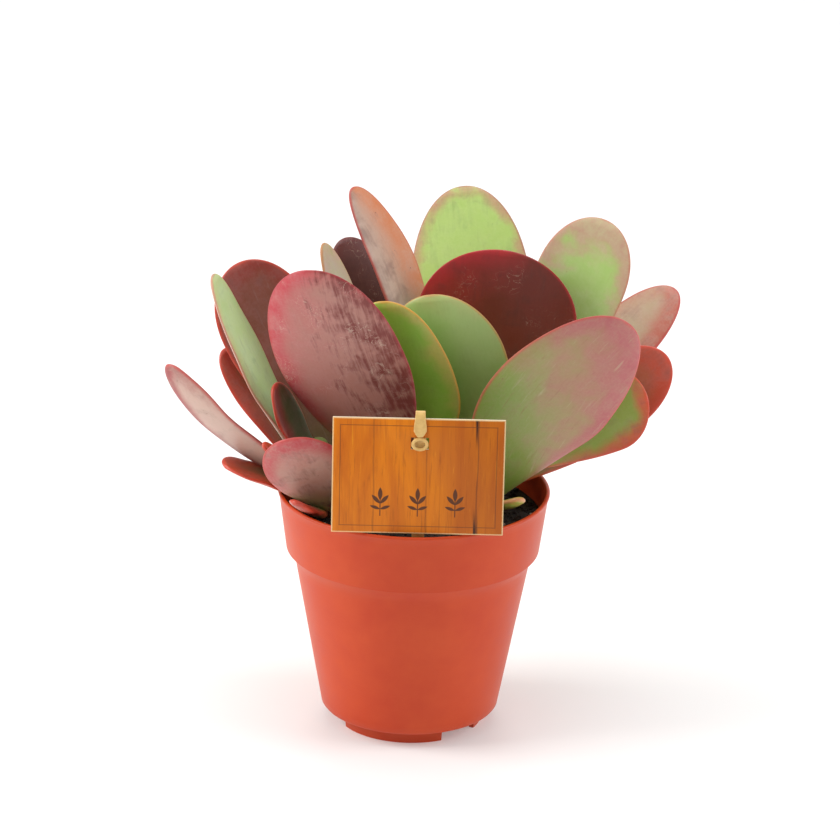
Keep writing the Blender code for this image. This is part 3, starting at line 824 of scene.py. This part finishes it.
def back_leaves() -> list[Leaf]:
    """Returns the leaves that stand behind the others."""
    return [
        Leaf("leaf_back_tall", "main", 140, 95, (-30.5, 38, 234), 28, (325, 10), -0.05, 0.14, 0.60,
             replace(PALE_PINK, body=paint_colour(188, 156, 138), blush=paint_colour(206, 118, 66),
                     foot=paint_colour(98, 126, 42), foot_reach=0.55, blotch=paint_colour(96, 44, 40),
                     side_blush=0.5, tip_blush=0.3, blush_start=0.2, blush_soft=0.35, rim_blush=0.1,
                     loose_blush=0.3, blotch_side=-0.2, blotch_share=0.5, specks=0.9)),
        Leaf("leaf_back_maroon", "main", 134, 130, (-33, 57, 205), 31, (300, 20), 0.03, 0.0, 0.66,
             replace(CRIMSON, body=paint_colour(66, 28, 24), blush=paint_colour(92, 30, 28), roughness=0.42,
                     rim=paint_colour(120, 40, 34))),
        Leaf("leaf_back_grey", "main", 128, 200, (-42, 18, 215), 20, (330, 10), 0.03, 0.0, 0.60,
             replace(GREY_LEAF, body=paint_colour(180, 160, 144), blush=paint_colour(190, 130, 116))),
        Leaf("leaf_rear_left_up", "left", 114, 62, (-33, 90, 149), 32, (275, 35), 0.05, 0.0, 0.60,
             FRESH_GREEN),
        Leaf("leaf_rear_right_up", "right", 113, 86, (62, 86, 156), 36, (262, 30), 0.05, 0.0, 0.60,
             FRESH_GREEN),
        Leaf("leaf_rear_middle_up", "main", 130, 80, (38, 88, 164), 39, (265, 28), 0.05, 0.0, 0.60,
             replace(FRESH_GREEN, blush=paint_colour(184, 120, 92), tip_blush=0.7)),
        Leaf("leaf_rear_left_low", "left", 105, 90, (-56, 80, 136), 34, (285, 45), 0.05, 0.0, 0.60,
             replace(FRESH_GREEN, rim=paint_colour(190, 90, 66))),
        Leaf("leaf_rear_middle_low", "main", 106, 100, (-14, 80, 138), 42, (270, 45), 0.05, 0.0, 0.60,
             FRESH_GREEN),
        Leaf("leaf_rear_right_low", "right", 106, 85, (58, 80, 134), 38, (260, 50), 0.05, 0.0, 0.60,
             replace(FRESH_GREEN, blush=paint_colour(190, 110, 84), rim=paint_colour(190, 90, 66))),
    ]


@dataclass(frozen=True)
class StemFinish:
    """The skin of the stems: bark below and green above."""

    green: Colour = paint_colour(126, 138, 72)
    bark: Colour = paint_colour(112, 84, 56)
    pale: Colour = paint_colour(168, 158, 112)
    roughness: float = 0.6

    def material(self) -> bpy.types.Material:
        """Paints bark below and green skin above, with pale upright grain.

        Returns:
            The material.
        """
        paint = Paint("stem skin")
        x, y, z = paint.place()
        where = paint.join(x, y, z)
        patches = paint.noise(where, 0.18, 5.0, 0.6)
        grain = paint.noise(paint.join(x * 2.0, y * 2.0, z * 0.5), 0.7, 4.0)
        old = (z + (patches - 0.5) * 40.0).rise(130.0, 96.0)
        colour = paint.mix(old, self.green, self.bark)
        colour = paint.mix(grain.rise(0.5, 0.75) * 0.5, colour, self.pale)
        paint.bump(patches * 0.6 + grain * 0.4, 0.4, 0.6)
        return paint.finish(colour, self.roughness + (patches - 0.5) * 0.2)


@dataclass(frozen=True)
class PlasticFinish:
    """Satin moulded plastic in one colour, with faint mould rings, scuffs and a patchy darker tone near the
    foot.
    """

    name: str
    body: Colour
    worn: Colour
    foot_darkening: Colour = paint_colour(120, 74, 50)
    roughness: float = 0.42

    def material(self) -> bpy.types.Material:
        """Paints the plastic: a cloudy tint, a patchy darker tone near the foot, fine level scuffs and mould
        rings.

        Returns:
            The material.
        """
        paint = Paint(self.name)
        x, y, z = paint.place()
        where = paint.join(x, y, z)
        clouds = paint.noise(where, 0.03, 3.0, 0.5)
        patches = paint.noise(where, 0.12, 6.0, 0.65)
        grain = paint.noise(where, 1.6, 4.0, 0.6)
        scuffs = paint.noise(paint.join(x * 0.3, y * 0.3, z * 2.2), 0.5, 5.0, 0.6, 0.4)
        tint = (clouds - 0.5) * 1.2 + (patches - 0.5) * 0.6 + 0.35
        colour = paint.mix(tint.above(0.0), self.body, self.worn)
        colour = paint.mix(scuffs.rise(0.6, 0.78) * 0.18, colour, self.worn)
        height = grain * 0.35 + patches * 0.65
        # a patchy darker tone towards the foot, fading out 10 mm up
        colour = paint.mix(z.rise(10.0, 0.0) * 0.25 * patches, colour, self.foot_darkening)
        height = height + paint.noise(paint.join(0.0, 0.0, z), 0.55, 2.0) * 0.5
        paint.bump(height, 0.12, 0.5)
        roughness = self.roughness + (patches - 0.5) * 0.16 + scuffs.rise(0.6, 0.78) * 0.08
        return paint.finish(colour, roughness, 0.02, Specular_IOR_Level=0.35)


@dataclass
class Pot:
    """The thin nursery pot: a turned wall with a stepped collar on a notched foot ring, with drain holes.

    The outline's corners are (radius, height): outside from the foot up, inside from the rim down, then under
    the floor.
    """

    outside: tuple = ((31.5, 0.0), (32.3, 0.0), (33.0, 7.0), (38.6, 7.0), (39.4, 8.0), (51.9, 76.0),
                      (53.0, 78.2), (55.1, 81.5), (55.95, 81.75), (56.2, 83.5), (59.4, 107.2))
    inside: tuple = ((54.9, 86.0), (50.0, 72.0), (38.0, 9.5), (0.0, 9.5))
    under: tuple = ((0.0, 8.0), (29.5, 8.0), (30.2, 0.0))
    rim_middle: tuple = (59.05, 108.1)
    rim_radius: float = 0.9
    rim_steps: int = 12
    longest_step: float = 3.0
    sides: int = 240
    foot_height: float = 7.0
    notch_degrees: float = 36.0
    notch_middles: tuple = (45.0, 166.0, 282.0)
    drain_ring: float = 22.0
    drain_radius: float = 4.0
    drain_count: int = 6
    drain_sides: int = 32
    drill_span: tuple = (5.0, 12.0)
    finish: PlasticFinish = field(default_factory=lambda: PlasticFinish(
        "terracotta plastic", paint_colour(190, 56, 8), paint_colour(204, 76, 26)))

    def profile(self) -> np.ndarray:
        """Works out the closed outline: up the outside, over a round rim, down inside and under the floor.

        The rim is half a circle, and each straight stretch is cut into even steps.

        Returns:
            The outline's points as (radius, height).
        """
        turn = np.linspace(-0.15 * np.pi, 0.95 * np.pi, self.rim_steps)
        rim = np.stack([np.cos(turn), np.sin(turn)], axis=1) * self.rim_radius + np.array(self.rim_middle)
        corners = np.vstack([self.outside, rim, self.inside, self.under])
        steps = np.linalg.norm(np.diff(corners, axis=0), axis=1)
        counts = np.maximum(1, np.ceil(steps / self.longest_step)).astype(int)
        runs = [np.linspace(a, b, n, endpoint=False) for a, b, n in zip(corners[:-1], corners[1:], counts)]
        return np.vstack([*runs, corners[-1:]])

    def angles(self) -> tuple[np.ndarray, np.ndarray]:
        """Works out the steps of the turning, with two of them a hair apart at each notch's upright wall.

        Returns:
            The angles from +X in radians, and whether each lies in a notch of the foot.
        """
        half = self.notch_degrees / 2
        walls = np.array([m + s * half for m in self.notch_middles for s in (-1, 1)]) % 360
        hair = 0.02
        turned = np.linspace(0, 360, self.sides, endpoint=False)
        turned = turned[np.abs((turned[:, None] - walls[None] + 180) % 360 - 180).min(axis=1) > 0.3]
        turned = np.sort(np.concatenate([turned, walls - hair, walls + hair]) % 360)
        middles = np.array(self.notch_middles)
        inside = (np.abs((turned[:, None] - middles[None] + 180) % 360 - 180) < half).any(axis=1)
        return np.radians(turned - 90.0), inside

    def build(self) -> bpy.types.Object:
        """Makes the pot: the outline turned about the axis, the foot lifted in its notches, then drilled.

        Returns:
            The piece.
        """
        profile = self.profile()
        turn, notched = self.angles()
        radius, height = profile[:, 0], profile[:, 1]
        lifted = np.maximum(height, self.foot_height - 0.01)
        heights = np.where(notched[None], lifted[:, None], height[:, None])
        rows = [radius[:, None] * np.cos(turn), radius[:, None] * np.sin(turn), heights]
        grid = np.stack(rows, axis=-1)
        points = grid.reshape(-1, 3)
        faces = turned_outward(points, grid_faces(len(profile), len(turn), closed_rows=True).tolist())
        piece = add_piece("pot_wall", points, faces, self.finish.material(), ("pot",), 35.0)
        merge_points(piece.data, 0.000004)
        self.drill(piece)
        return piece

    def drill(self, piece: bpy.types.Object) -> None:
        """Cuts the drain holes through the floor.

        Args:
            piece: The pot.
        """
        sides, (low, high) = self.drain_sides, self.drill_span
        turn = np.arange(sides) * 2 * np.pi / sides
        circle = np.stack([np.cos(turn), np.sin(turn)], axis=1) * self.drain_radius
        spread = np.arange(self.drain_count) * 2 * np.pi / self.drain_count
        mesh = bpy.data.meshes.new("drill")
        points, faces = np.zeros((0, 3)), []
        for middle in np.stack([np.cos(spread), np.sin(spread)], axis=1) * self.drain_ring:
            ring = np.hstack([circle + middle, np.zeros((sides, 1))])
            rings = np.stack([ring + [0, 0, low], ring + [0, 0, high]])
            ends = (np.array([*middle, low]), np.array([*middle, high]))
            drilled, walls = capped(rings, 2, sides, ends)
            faces += [[i + len(points) for i in f] for f in turned_outward(drilled, walls)]
            points = np.vstack([points, drilled])
        mesh.from_pydata(((points + PLACE) * MM).tolist(), [], faces)
        tool = bpy.data.objects.new("drill", mesh)
        bpy.context.scene.collection.objects.link(tool)
        cut = piece.modifiers.new("drain holes", "BOOLEAN")
        cut.object = tool
        cut.operation = "DIFFERENCE"
        keep_modifiers(piece)
        bpy.data.objects.remove(tool)


def merge_points(mesh: bpy.types.Mesh, distance: float) -> None:
    """Joins the points of a mesh that lie close together.

    Args:
        mesh: The mesh.
        distance: How close, in metres.
    """
    work = bmesh.new()
    work.from_mesh(mesh)
    bmesh.ops.remove_doubles(work, verts=work.verts, dist=distance)
    work.to_mesh(mesh)
    work.free()


def keep_modifiers(piece: bpy.types.Object) -> None:
    """Turns what a piece's modifiers make into its own mesh.

    Args:
        piece: The piece.
    """
    bpy.context.view_layer.update()
    made = bpy.data.meshes.new_from_object(piece.evaluated_get(bpy.context.evaluated_depsgraph_get()))
    piece.modifiers.clear()
    piece.data = made


def lump() -> tuple[np.ndarray, np.ndarray]:
    """Makes a ball of radius one from a divided icosahedron.

    Returns:
        Its points and its triangles.
    """
    work = bmesh.new()
    bmesh.ops.create_icosphere(work, subdivisions=2, radius=1.0)
    points = np.array([v.co[:] for v in work.verts])
    faces = np.array([[v.index for v in f.verts] for f in work.faces])
    work.free()
    return points, faces


def scattered(middles: np.ndarray, sizes: np.ndarray, roughness: float,
              seed: int) -> tuple[np.ndarray, np.ndarray]:
    """Makes one uneven lump at each place.

    Each lump is a ball stretched along its own axes, whose points are pushed in or out by three slow
    sine waves of their direction, turned by a random rotation and moved to its place.

    Args:
        middles: The places, in millimetres.
        sizes: The half sizes along the three axes, one row a lump.
        roughness: How far the waves push, as a share of the size.
        seed: The seed of the random numbers.

    Returns:
        All points and all triangles.
    """
    ball, triangles = lump()
    dice = np.random.default_rng(seed)
    count = len(middles)
    waves = dice.normal(0, 2.2, (count, 3, 3))
    phase = dice.uniform(0, 2 * np.pi, (count, 3))
    push = np.sin(np.einsum("nij,pj->npi", waves, ball) + phase[:, None]).mean(axis=2)
    shaped = ball[None] * (1 + roughness * push)[..., None] * sizes[:, None]
    turns = np.linalg.qr(dice.normal(size=(count, 3, 3)))[0]
    turns[np.linalg.det(turns) < 0, :, 0] *= -1
    placed = np.einsum("nij,npj->npi", turns, shaped) + middles[:, None]
    faces = triangles[None] + (np.arange(count) * len(ball))[:, None, None]
    return placed.reshape(-1, 3), faces.reshape(-1, 3)


@dataclass(frozen=True)
class SoilFinish:
    """Dark damp peat, or a pale mineral grain."""

    name: str
    dark: Colour = paint_colour(30, 23, 19)
    light: Colour = paint_colour(74, 58, 45)

    def material(self) -> bpy.types.Material:
        """Paints a fine mottling between the two colours.

        Returns:
            The material.
        """
        paint = Paint(self.name)
        where = paint.join(*paint.place())
        patches = paint.noise(where, 0.35, 6.0, 0.7)
        grain = paint.noise(where, 2.2, 5.0, 0.7)
        colour = paint.mix((patches * 0.6 + grain * 0.5).rise(0.45, 0.8), self.dark, self.light)
        paint.bump(grain * 0.6 + patches * 0.4, 0.8, 0.9)
        return paint.finish(colour, 0.85 + (grain - 0.5) * 0.2)


@dataclass
class Soil:
    """The filling of peat: a body with an uneven top, loose crumbs and a few pale grains."""

    bottom: float = 9.8
    radius_bottom: float = 37.5
    radius_top: float = 56.0
    top: float = SOIL_TOP
    unevenness: float = 0.9
    rings: int = 70
    sides: int = 200
    crumbs: int = 1500
    crumb_sizes: tuple[float, float] = (0.35, 1.5)
    grains: int = 70
    grain_sizes: tuple[float, float] = (0.5, 1.1)
    clear_of_wall: float = 1.8

    def height(self, x: np.ndarray, y: np.ndarray) -> np.ndarray:
        """Works out the height of the top: slow waves plus small bumps, as sums of sines of the place.

        Args:
            x: The places across, in millimetres from the pot's axis.
            y: The places in depth.

        Returns:
            The heights.
        """
        slow = np.sin(x / 9.0 + 1.0) * np.cos(y / 11.0) * 0.6 + np.sin((x + y) / 6.1) * 0.25
        fine = np.sin(x / 1.7 + 2 * np.sin(y / 2.3)) * np.sin(y / 1.9 + 1.5 * np.sin(x / 2.9)) * 0.45
        return self.top + self.unevenness * (slow + 0.4 * fine)

    def build(self) -> list[bpy.types.Object]:
        """Makes the body of soil and what lies on it.

        The top is a polar grid at the height above. It turns down the side, a cone that follows the
        pot's wall, to a flat bottom.

        Returns:
            The pieces.
        """
        turn = np.arange(self.sides) * 2 * np.pi / self.sides
        radii = np.linspace(0.4, self.radius_top, self.rings)
        x, y = radii[:, None] * np.cos(turn), radii[:, None] * np.sin(turn)
        top = np.stack([x, y, self.height(x, y)], axis=-1)
        low = np.linspace(1.0, 0.0, 8)[1:, None]
        side_radius = self.radius_bottom + (self.radius_top - self.radius_bottom) * low
        side_height = self.bottom + (self.top - self.bottom) * low
        circle = [side_radius * np.cos(turn), side_radius * np.sin(turn), side_height + 0 * turn]
        rings = np.vstack([top, np.stack(circle, axis=-1)])
        middle = np.array([0.0, 0.0, self.height(np.zeros(1), np.zeros(1))[0]])
        points, faces = capped(rings, len(rings), self.sides, (middle, np.array([0.0, 0.0, self.bottom])))
        peat = SoilFinish("peat").material()
        body = add_piece("soil_peat", points, turned_outward(points, faces), peat, ("soil",), 60.0)
        crumbs = self.strew("soil_crumbs", self.crumbs, self.crumb_sizes, 0.5, peat, 3)
        grain = SoilFinish("pale grains", paint_colour(150, 138, 118), paint_colour(214, 206, 190))
        mineral = grain.material()
        return [body, crumbs, self.strew("soil_grains", self.grains, self.grain_sizes, 0.3, mineral, 9)]

    def strew(self, name: str, count: int, sizes: tuple[float, float], roughness: float,
              material: bpy.types.Material, seed: int) -> bpy.types.Object:
        """Lays crumbs on the soil, evenly over its disc.

        Args:
            name: The piece's name.
            count: How many crumbs.
            sizes: The least and the most half size, in millimetres.
            roughness: How uneven each is.
            material: Its material.
            seed: The seed of the random numbers.

        Returns:
            The piece.
        """
        dice = np.random.default_rng(seed)
        radius = (self.radius_top - self.clear_of_wall) * np.sqrt(dice.uniform(0, 1, count))
        turn = dice.uniform(0, 2 * np.pi, count)
        x, y = radius * np.cos(turn), radius * np.sin(turn)
        size = sizes[0] + (sizes[1] - sizes[0]) * dice.uniform(0, 1, (count, 1)) ** 2.5
        half = size * dice.uniform(0.6, 1.2, (count, 3))
        middles = np.stack([x, y, self.height(x, y) + 0.25 * half[:, 2]], axis=1)
        points, faces = scattered(middles, half, roughness, seed + 1)
        return add_piece(name, points, faces, material, (), 80.0)


@dataclass(frozen=True)
class CardFinish:
    """A printed card: wooden boards with upright grain, a thin frame and a row of plain sprigs.

    Places across are from the card's middle and heights from its lower edge. A seam is its place and how
    strong it is. A sprig's leaf is its lean in degrees, its start from the stalk's top, its length and width.
    """

    light: Colour = paint_colour(226, 128, 4)
    deep: Colour = paint_colour(194, 98, 4)
    # colour of the painted shade on the card's right side
    shaded: Colour = paint_colour(160, 78, 6)
    dark_grain: Colour = paint_colour(146, 68, 6)
    light_grain: Colour = paint_colour(234, 156, 30)
    speck: Colour = paint_colour(132, 70, 26)
    seam: Colour = paint_colour(96, 48, 16)
    crack: Colour = paint_colour(66, 32, 14)
    # pale colour of the painted highlight along the card's cut edges
    edge_highlight: Colour = paint_colour(240, 214, 160)
    ink: Colour = paint_colour(92, 50, 24)
    bare: Colour = paint_colour(226, 214, 190)
    frame_inset: float = 3.4
    sprig_height: float = 15.0
    sprig_spacing: float = 16.0
    sprig_leaves: tuple = ((0, 0.0, 6.0, 1.9), (42, -1.5, 5.4, 1.7), (-42, -1.5, 5.4, 1.7),
                           (70, -4.0, 4.6, 1.4), (-70, -4.0, 4.6, 1.4))
    seams: tuple = ((-19.0, 0.35), (3.5, 0.3), (25.5, 0.55))
    crack_at: float = 24.8

    def material(self, tag: "Tag") -> bpy.types.Material:
        """Paints the card.

        The grain is a noise squeezed along X. Boards end at three uneven upright lines. A crack is dark
        where a noisy line is near and the point lies near the card's top or bottom. The cut edges and the
        back show the bare card.

        Args:
            tag: The tag whose card it is, for the card's place and size.

        Returns:
            The material.
        """
        paint = Paint("printed card")
        x, y, z = paint.place()
        u = x - (tag.middle_x + float(PLACE[0]))
        v = z - tag.bottom
        grain = paint.noise(paint.join(u * 1.0, 0.0, v * 0.06), 0.9, 6.0, 0.65, 0.5)
        broad = paint.noise(paint.join(u * 0.35, 0.0, v * 0.05), 0.25, 4.0, 0.55, 0.8)
        speckle = paint.noise(paint.join(u, 0.0, v * 0.5), 2.5, 4.0, 0.7)
        colour = paint.mix(broad.rise(0.3, 0.72), self.light, self.deep)
        # painted shade: the card darkens smoothly towards its right side
        colour = paint.mix(u.rise(-12.0, 36.0) * 0.5, colour, self.shaded)
        colour = paint.mix(grain.rise(0.52, 0.74) * 0.6, colour, self.dark_grain)
        colour = paint.mix(grain.rise(0.42, 0.26) * 0.4, colour, self.light_grain)
        colour = paint.mix(speckle.rise(0.62, 0.76) * 0.35, colour, self.speck)
        wobble = (broad - 0.5) * 3.0 + (grain - 0.5) * 1.2
        for place, share in self.seams:
            seam = abs(u - place + wobble).rise(0.5, 0.1)
            colour = paint.mix(seam * share, colour, self.seam)
        ends = v.rise(14.0, 2.0) + v.rise(tag.height - 15.0, tag.height - 3.0)
        split = abs(u - self.crack_at + wobble * 1.6).rise(0.9, 0.2) * ends
        colour = paint.mix(split.below(1.0), colour, self.crack)
        # painted highlight: a pale ragged band along the card's edges, where its cut edge catches the light
        edge = (tag.width / 2 - abs(u)).below(v).below(tag.height - v) + (speckle - 0.5) * 0.5
        colour = paint.mix(edge.rise(0.7, 0.3) * 0.7, colour, self.edge_highlight)
        inset = abs(tag.width / 2 - self.frame_inset - abs(u)).below(
            abs(tag.height / 2 - self.frame_inset - abs(v - tag.height / 2)))
        within = (abs(u) - tag.width / 2 + self.frame_inset).above(
            abs(v - tag.height / 2) - tag.height / 2 + self.frame_inset).rise(0.3, 0.2)
        colour = paint.mix(inset.rise(0.26, 0.12) * within * 0.6, colour, self.ink)
        colour = paint.mix(self.emblem(u, v) * (1.0 - speckle.rise(0.66, 0.8) * 0.5), colour, self.ink)
        half = tag.thickness / 2
        side = abs(y - float(PLACE[1]) - tag.y).rise(half - 0.06, half - 0.12)
        back = (y - float(PLACE[1]) - tag.y).rise(0.2, 0.3)
        colour = paint.mix(side.above(back), colour, self.bare)
        paint.bump(grain * 0.3 + speckle * 0.2, 0.08, 0.4)
        return paint.finish(colour, 0.5 + (grain - 0.5) * 0.12, 0.0, Specular_IOR_Level=0.3)

    def emblem(self, u: Number, v: Number) -> Number:
        """Works out where the row of three plain sprigs is printed.

        Folding the way across twice about half the spacing makes three of one sprig. Each of its leaves is
        an ellipse-like shape, whose half width falls with the square of the way from its middle, turned by
        its lean about the stalk.

        Args:
            u: The way across the card from its middle, in millimetres.
            v: The height above the card's lower edge, in millimetres.

        Returns:
            How much ink lies there, 0 to 1.
        """
        dz = v - self.sprig_height
        dx = abs(abs(u) - self.sprig_spacing / 2) - self.sprig_spacing / 2
        ink = abs(dx).rise(0.3, 0.15) * dz.rise(-7.2, -7.0) * dz.rise(0.6, 0.4)
        for lean, start, length, wide in self.sprig_leaves:
            a = math.radians(lean)
            along = dx * math.sin(a) + (dz - start) * math.cos(a) - length / 2
            over = dx * math.cos(a) - (dz - start) * math.sin(a)
            bulge = 1.0 - (along / (length / 2)) ** 2.0
            ink = ink.above((abs(over) - bulge * (wide / 2)).rise(0.12, -0.08))
        return ink


@dataclass(frozen=True)
class StakeFinish:
    """Cream moulded plastic."""

    cream: Colour = paint_colour(226, 186, 112)
    tan: Colour = paint_colour(196, 148, 78)
    soiled: Colour = paint_colour(96, 70, 48)
    roughness: float = 0.4

    def material(self) -> bpy.types.Material:
        """Paints the plastic: cloudy, and soiled near the peat.

        Returns:
            The material.
        """
        paint = Paint("cream stake plastic")
        x, y, z = paint.place()
        where = paint.join(x, y, z)
        patches = paint.noise(where, 0.4, 5.0, 0.6)
        grain = paint.noise(where, 3.0, 3.0, 0.6)
        colour = paint.mix(patches.rise(0.35, 0.7) * 0.5, self.cream, self.tan)
        colour = paint.mix(z.rise(104.0, 97.0) * 0.6, colour, self.soiled)
        paint.bump(patches * 0.7 + grain * 0.3, 0.1, 0.5)
        return paint.finish(colour, self.roughness + (patches - 0.5) * 0.15, 0.1)


@dataclass
class Tag:
    """The picture card on its stake, with the small eyelet below the stake's tongue."""

    width: float = 73.5
    height: float = 52.6
    middle_x: float = 1.75
    y: float = -56.0
    bottom: float = 109.7
    slot_drop: float = 11.3
    stake_x: float = 2.2
    loop_across: float = 3.0
    loop_up: float = 2.34
    loop_wire: float = 0.7
    loop_steps: tuple[int, int] = (72, 20)
    thickness: float = 1.0
    printed: CardFinish = field(default_factory=CardFinish)
    plastic: StakeFinish = field(default_factory=StakeFinish)

    def eyelet(self, plastic: bpy.types.Material) -> bpy.types.Object:
        """Makes the eyelet: a circle of wire carried along an ellipse.

        The grid is the way round the ellipse by the way round the wire.

        Args:
            plastic: Its material.

        Returns:
            The piece.
        """
        rings, sides = self.loop_steps
        a = (np.arange(rings) * 2 * np.pi / rings)[:, None]
        b = (np.arange(sides) * 2 * np.pi / sides)[None]
        front = self.y - self.thickness / 2 - GAP - self.loop_wire
        middle_z = self.bottom + self.height - self.slot_drop
        x = self.stake_x + np.cos(a) * (self.loop_across + self.loop_wire * np.cos(b))
        z = middle_z + np.sin(a) * (self.loop_up + self.loop_wire * np.cos(b))
        y = front + self.loop_wire * np.sin(b) + 0 * a
        points = np.stack([x, y, z], axis=-1).reshape(-1, 3)
        faces = turned_outward(points, grid_faces(rings, sides, closed_rows=True).tolist())
        return add_piece("tag_eyelet", points, faces, plastic, ("tag_ring",), 80.0)

    def build(self) -> list[bpy.types.Object]:
        """Makes the eyelet, and dresses the card and the stake in copies of their solids with soft edges.

        Returns:
            The pieces.
        """
        printed, plastic = self.printed.material(self), self.plastic.material()
        pieces = [self.eyelet(plastic)]
        for node, material, round_off in (("tag_card", printed, 0.18), ("tag_stake", plastic, 0.3)):
            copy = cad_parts[node].data.copy()
            piece = bpy.data.objects.new(f"{node}_dressed", copy)
            bpy.context.scene.collection.objects.link(piece)
            merge_points(copy, 0.000005)
            copy.materials.clear()
            copy.materials.append(material)
            bevel = piece.modifiers.new("soft edges", "BEVEL")
            bevel.width = round_off * MM
            bevel.segments = 3
            bevel.limit_method = "ANGLE"
            bevel.angle_limit = math.radians(50.0)
            keep_modifiers(piece)
            piece.data.shade_smooth()
            piece.data.set_sharp_from_angle(angle=math.radians(35.0))
            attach(piece, "root")
            "card_print" if node == "tag_card" else "stake_plastic"
            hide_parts(node)
            pieces.append(piece)
        return pieces


@dataclass
class Studio:
    """The white table and backdrop, the lamps and the camera of the picture."""

    target: tuple[float, float, float] = (2.0, 0.0, 140.5)
    distance: float = 1900.0
    elevation: float = 20.6
    roll: float = 1.3
    lens: float = 186.0
    sensor: float = 36.0
    half_width: float = 3500.0
    floor_end: float = 3200.0
    sweep: float = 600.0
    wall_top: float = 2500.0
    paper: Colour = paint_colour(226, 226, 225)
    paper_glow: float = 0.2
    room_light: float = 0.42

    def light(self, name: str, place: tuple[float, float, float], size: float, watts: float,
              colour: Colour) -> None:
        """Hangs a square soft lamp that looks at the middle of the plant.

        Args:
            name: The lamp's name.
            place: Where it hangs, in metres from the pot's axis.
            size: Its side, in metres.
            watts: Its power.
            colour: Its colour.
        """
        data = bpy.data.lights.new(name, "AREA")
        data.size = size
        data.energy = watts
        data.color = colour
        lamp = bpy.data.objects.new(name, data)
        bpy.context.scene.collection.objects.link(lamp)
        lamp.location = Vector(place) + Vector(PLACE * MM)
        aim = Vector(PLACE * MM) + Vector((0, 0, 0.12)) - lamp.location
        lamp.rotation_mode = "QUATERNION"
        lamp.rotation_quaternion = aim.to_track_quat("-Z", "Y")

    def backdrop(self) -> None:
        """Lays a white sweep: flat under the pot, then up behind it by a quarter of a circle."""
        bend = np.linspace(0, np.pi / 2, 24)
        floor = np.array([[-self.half_width, 0.0], [self.floor_end, 0.0]])
        curve = [self.floor_end + self.sweep * np.sin(bend), self.sweep - self.sweep * np.cos(bend)]
        curve = np.stack(curve, axis=1)[1:]
        wall = np.array([[self.floor_end + self.sweep, self.wall_top]])
        profile = np.vstack([floor, curve, wall])
        x = np.array([-self.half_width, self.half_width])
        grid = np.stack([np.broadcast_to(x, (len(profile), 2)), np.repeat(profile[:, :1], 2, 1),
                         np.repeat(profile[:, 1:], 2, 1)], axis=-1)
        mesh = bpy.data.meshes.new("backdrop")
        points = (grid.reshape(-1, 3) + PLACE) * MM
        mesh.from_pydata(points.tolist(), [], grid_faces(len(profile), 2, False).tolist())
        mesh.shade_smooth()
        sheet = bpy.data.objects.new("backdrop", mesh)
        bpy.context.scene.collection.objects.link(sheet)
        paint = Paint("white paper")
        paint.shader.inputs["Emission Color"].default_value = (1.0, 1.0, 1.0, 1.0)
        mesh.materials.append(paint.finish(self.paper, 0.9, Emission_Strength=self.paper_glow))

    def camera(self) -> None:
        """Sets the camera at the picture's angle."""
        data = bpy.data.cameras.new("camera")
        data.sensor_width = self.sensor
        data.lens = self.lens
        data.clip_end = 50.0
        eye = bpy.data.objects.new("camera", data)
        bpy.context.scene.collection.objects.link(eye)
        e = math.radians(self.elevation)
        target = Vector(np.array(self.target) + PLACE) * MM
        back = Vector((0.0, -math.cos(e), math.sin(e)))
        turned = (-back).to_track_quat("-Z", "Y").to_matrix()
        turned = turned @ Matrix.Rotation(math.radians(self.roll), 3, "Z")
        eye.matrix_world = Matrix.Translation(target + back * self.distance * MM) @ turned.to_4x4()
        bpy.context.scene.camera = eye

    def build(self) -> None:
        """Puts up the whole set."""
        world = bpy.data.worlds.new("white room")
        world.use_nodes = True
        sky = world.node_tree.nodes["Background"]
        sky.inputs["Color"].default_value = (1.0, 1.0, 1.0, 1.0)
        sky.inputs["Strength"].default_value = self.room_light
        bpy.context.scene.world = world
        bpy.context.scene.view_settings.view_transform = "Standard"
        self.backdrop()
        self.light("left soft box", (-1.3, -0.15, 0.85), 0.9, 18.0, (1.0, 0.99, 0.97))
        self.light("right soft box", (1.3, -0.2, 0.75), 0.9, 10.0, (0.98, 0.99, 1.0))
        self.light("back soft box", (0.0, 1.9, 1.5), 1.2, 10.0, (1.0, 1.0, 1.0))
        self.light("top soft box", (0.0, 0.1, 1.9), 1.2, 13.0, (1.0, 1.0, 1.0))
        self.camera()


def main() -> None:
    """Builds the pot, the soil, the stems, the leaves, the tag and the set."""
    logging.basicConfig(level=logging.INFO, format="%(name)s: %(message)s")
    pieces = [Pot().build(), *Soil().build()]
    skin = StemFinish().material()
    pieces += [stem.build(skin) for stem in STEMS.values()]
    pieces += [leaf.build(number) for number, leaf in enumerate(plant_leaves())]
    pieces += Tag().build()
    for piece in pieces:
        LOG.info("%s has %d faces", piece.name, len(piece.data.polygons))
    Studio().build()


if __name__ == "__main__":
    main()
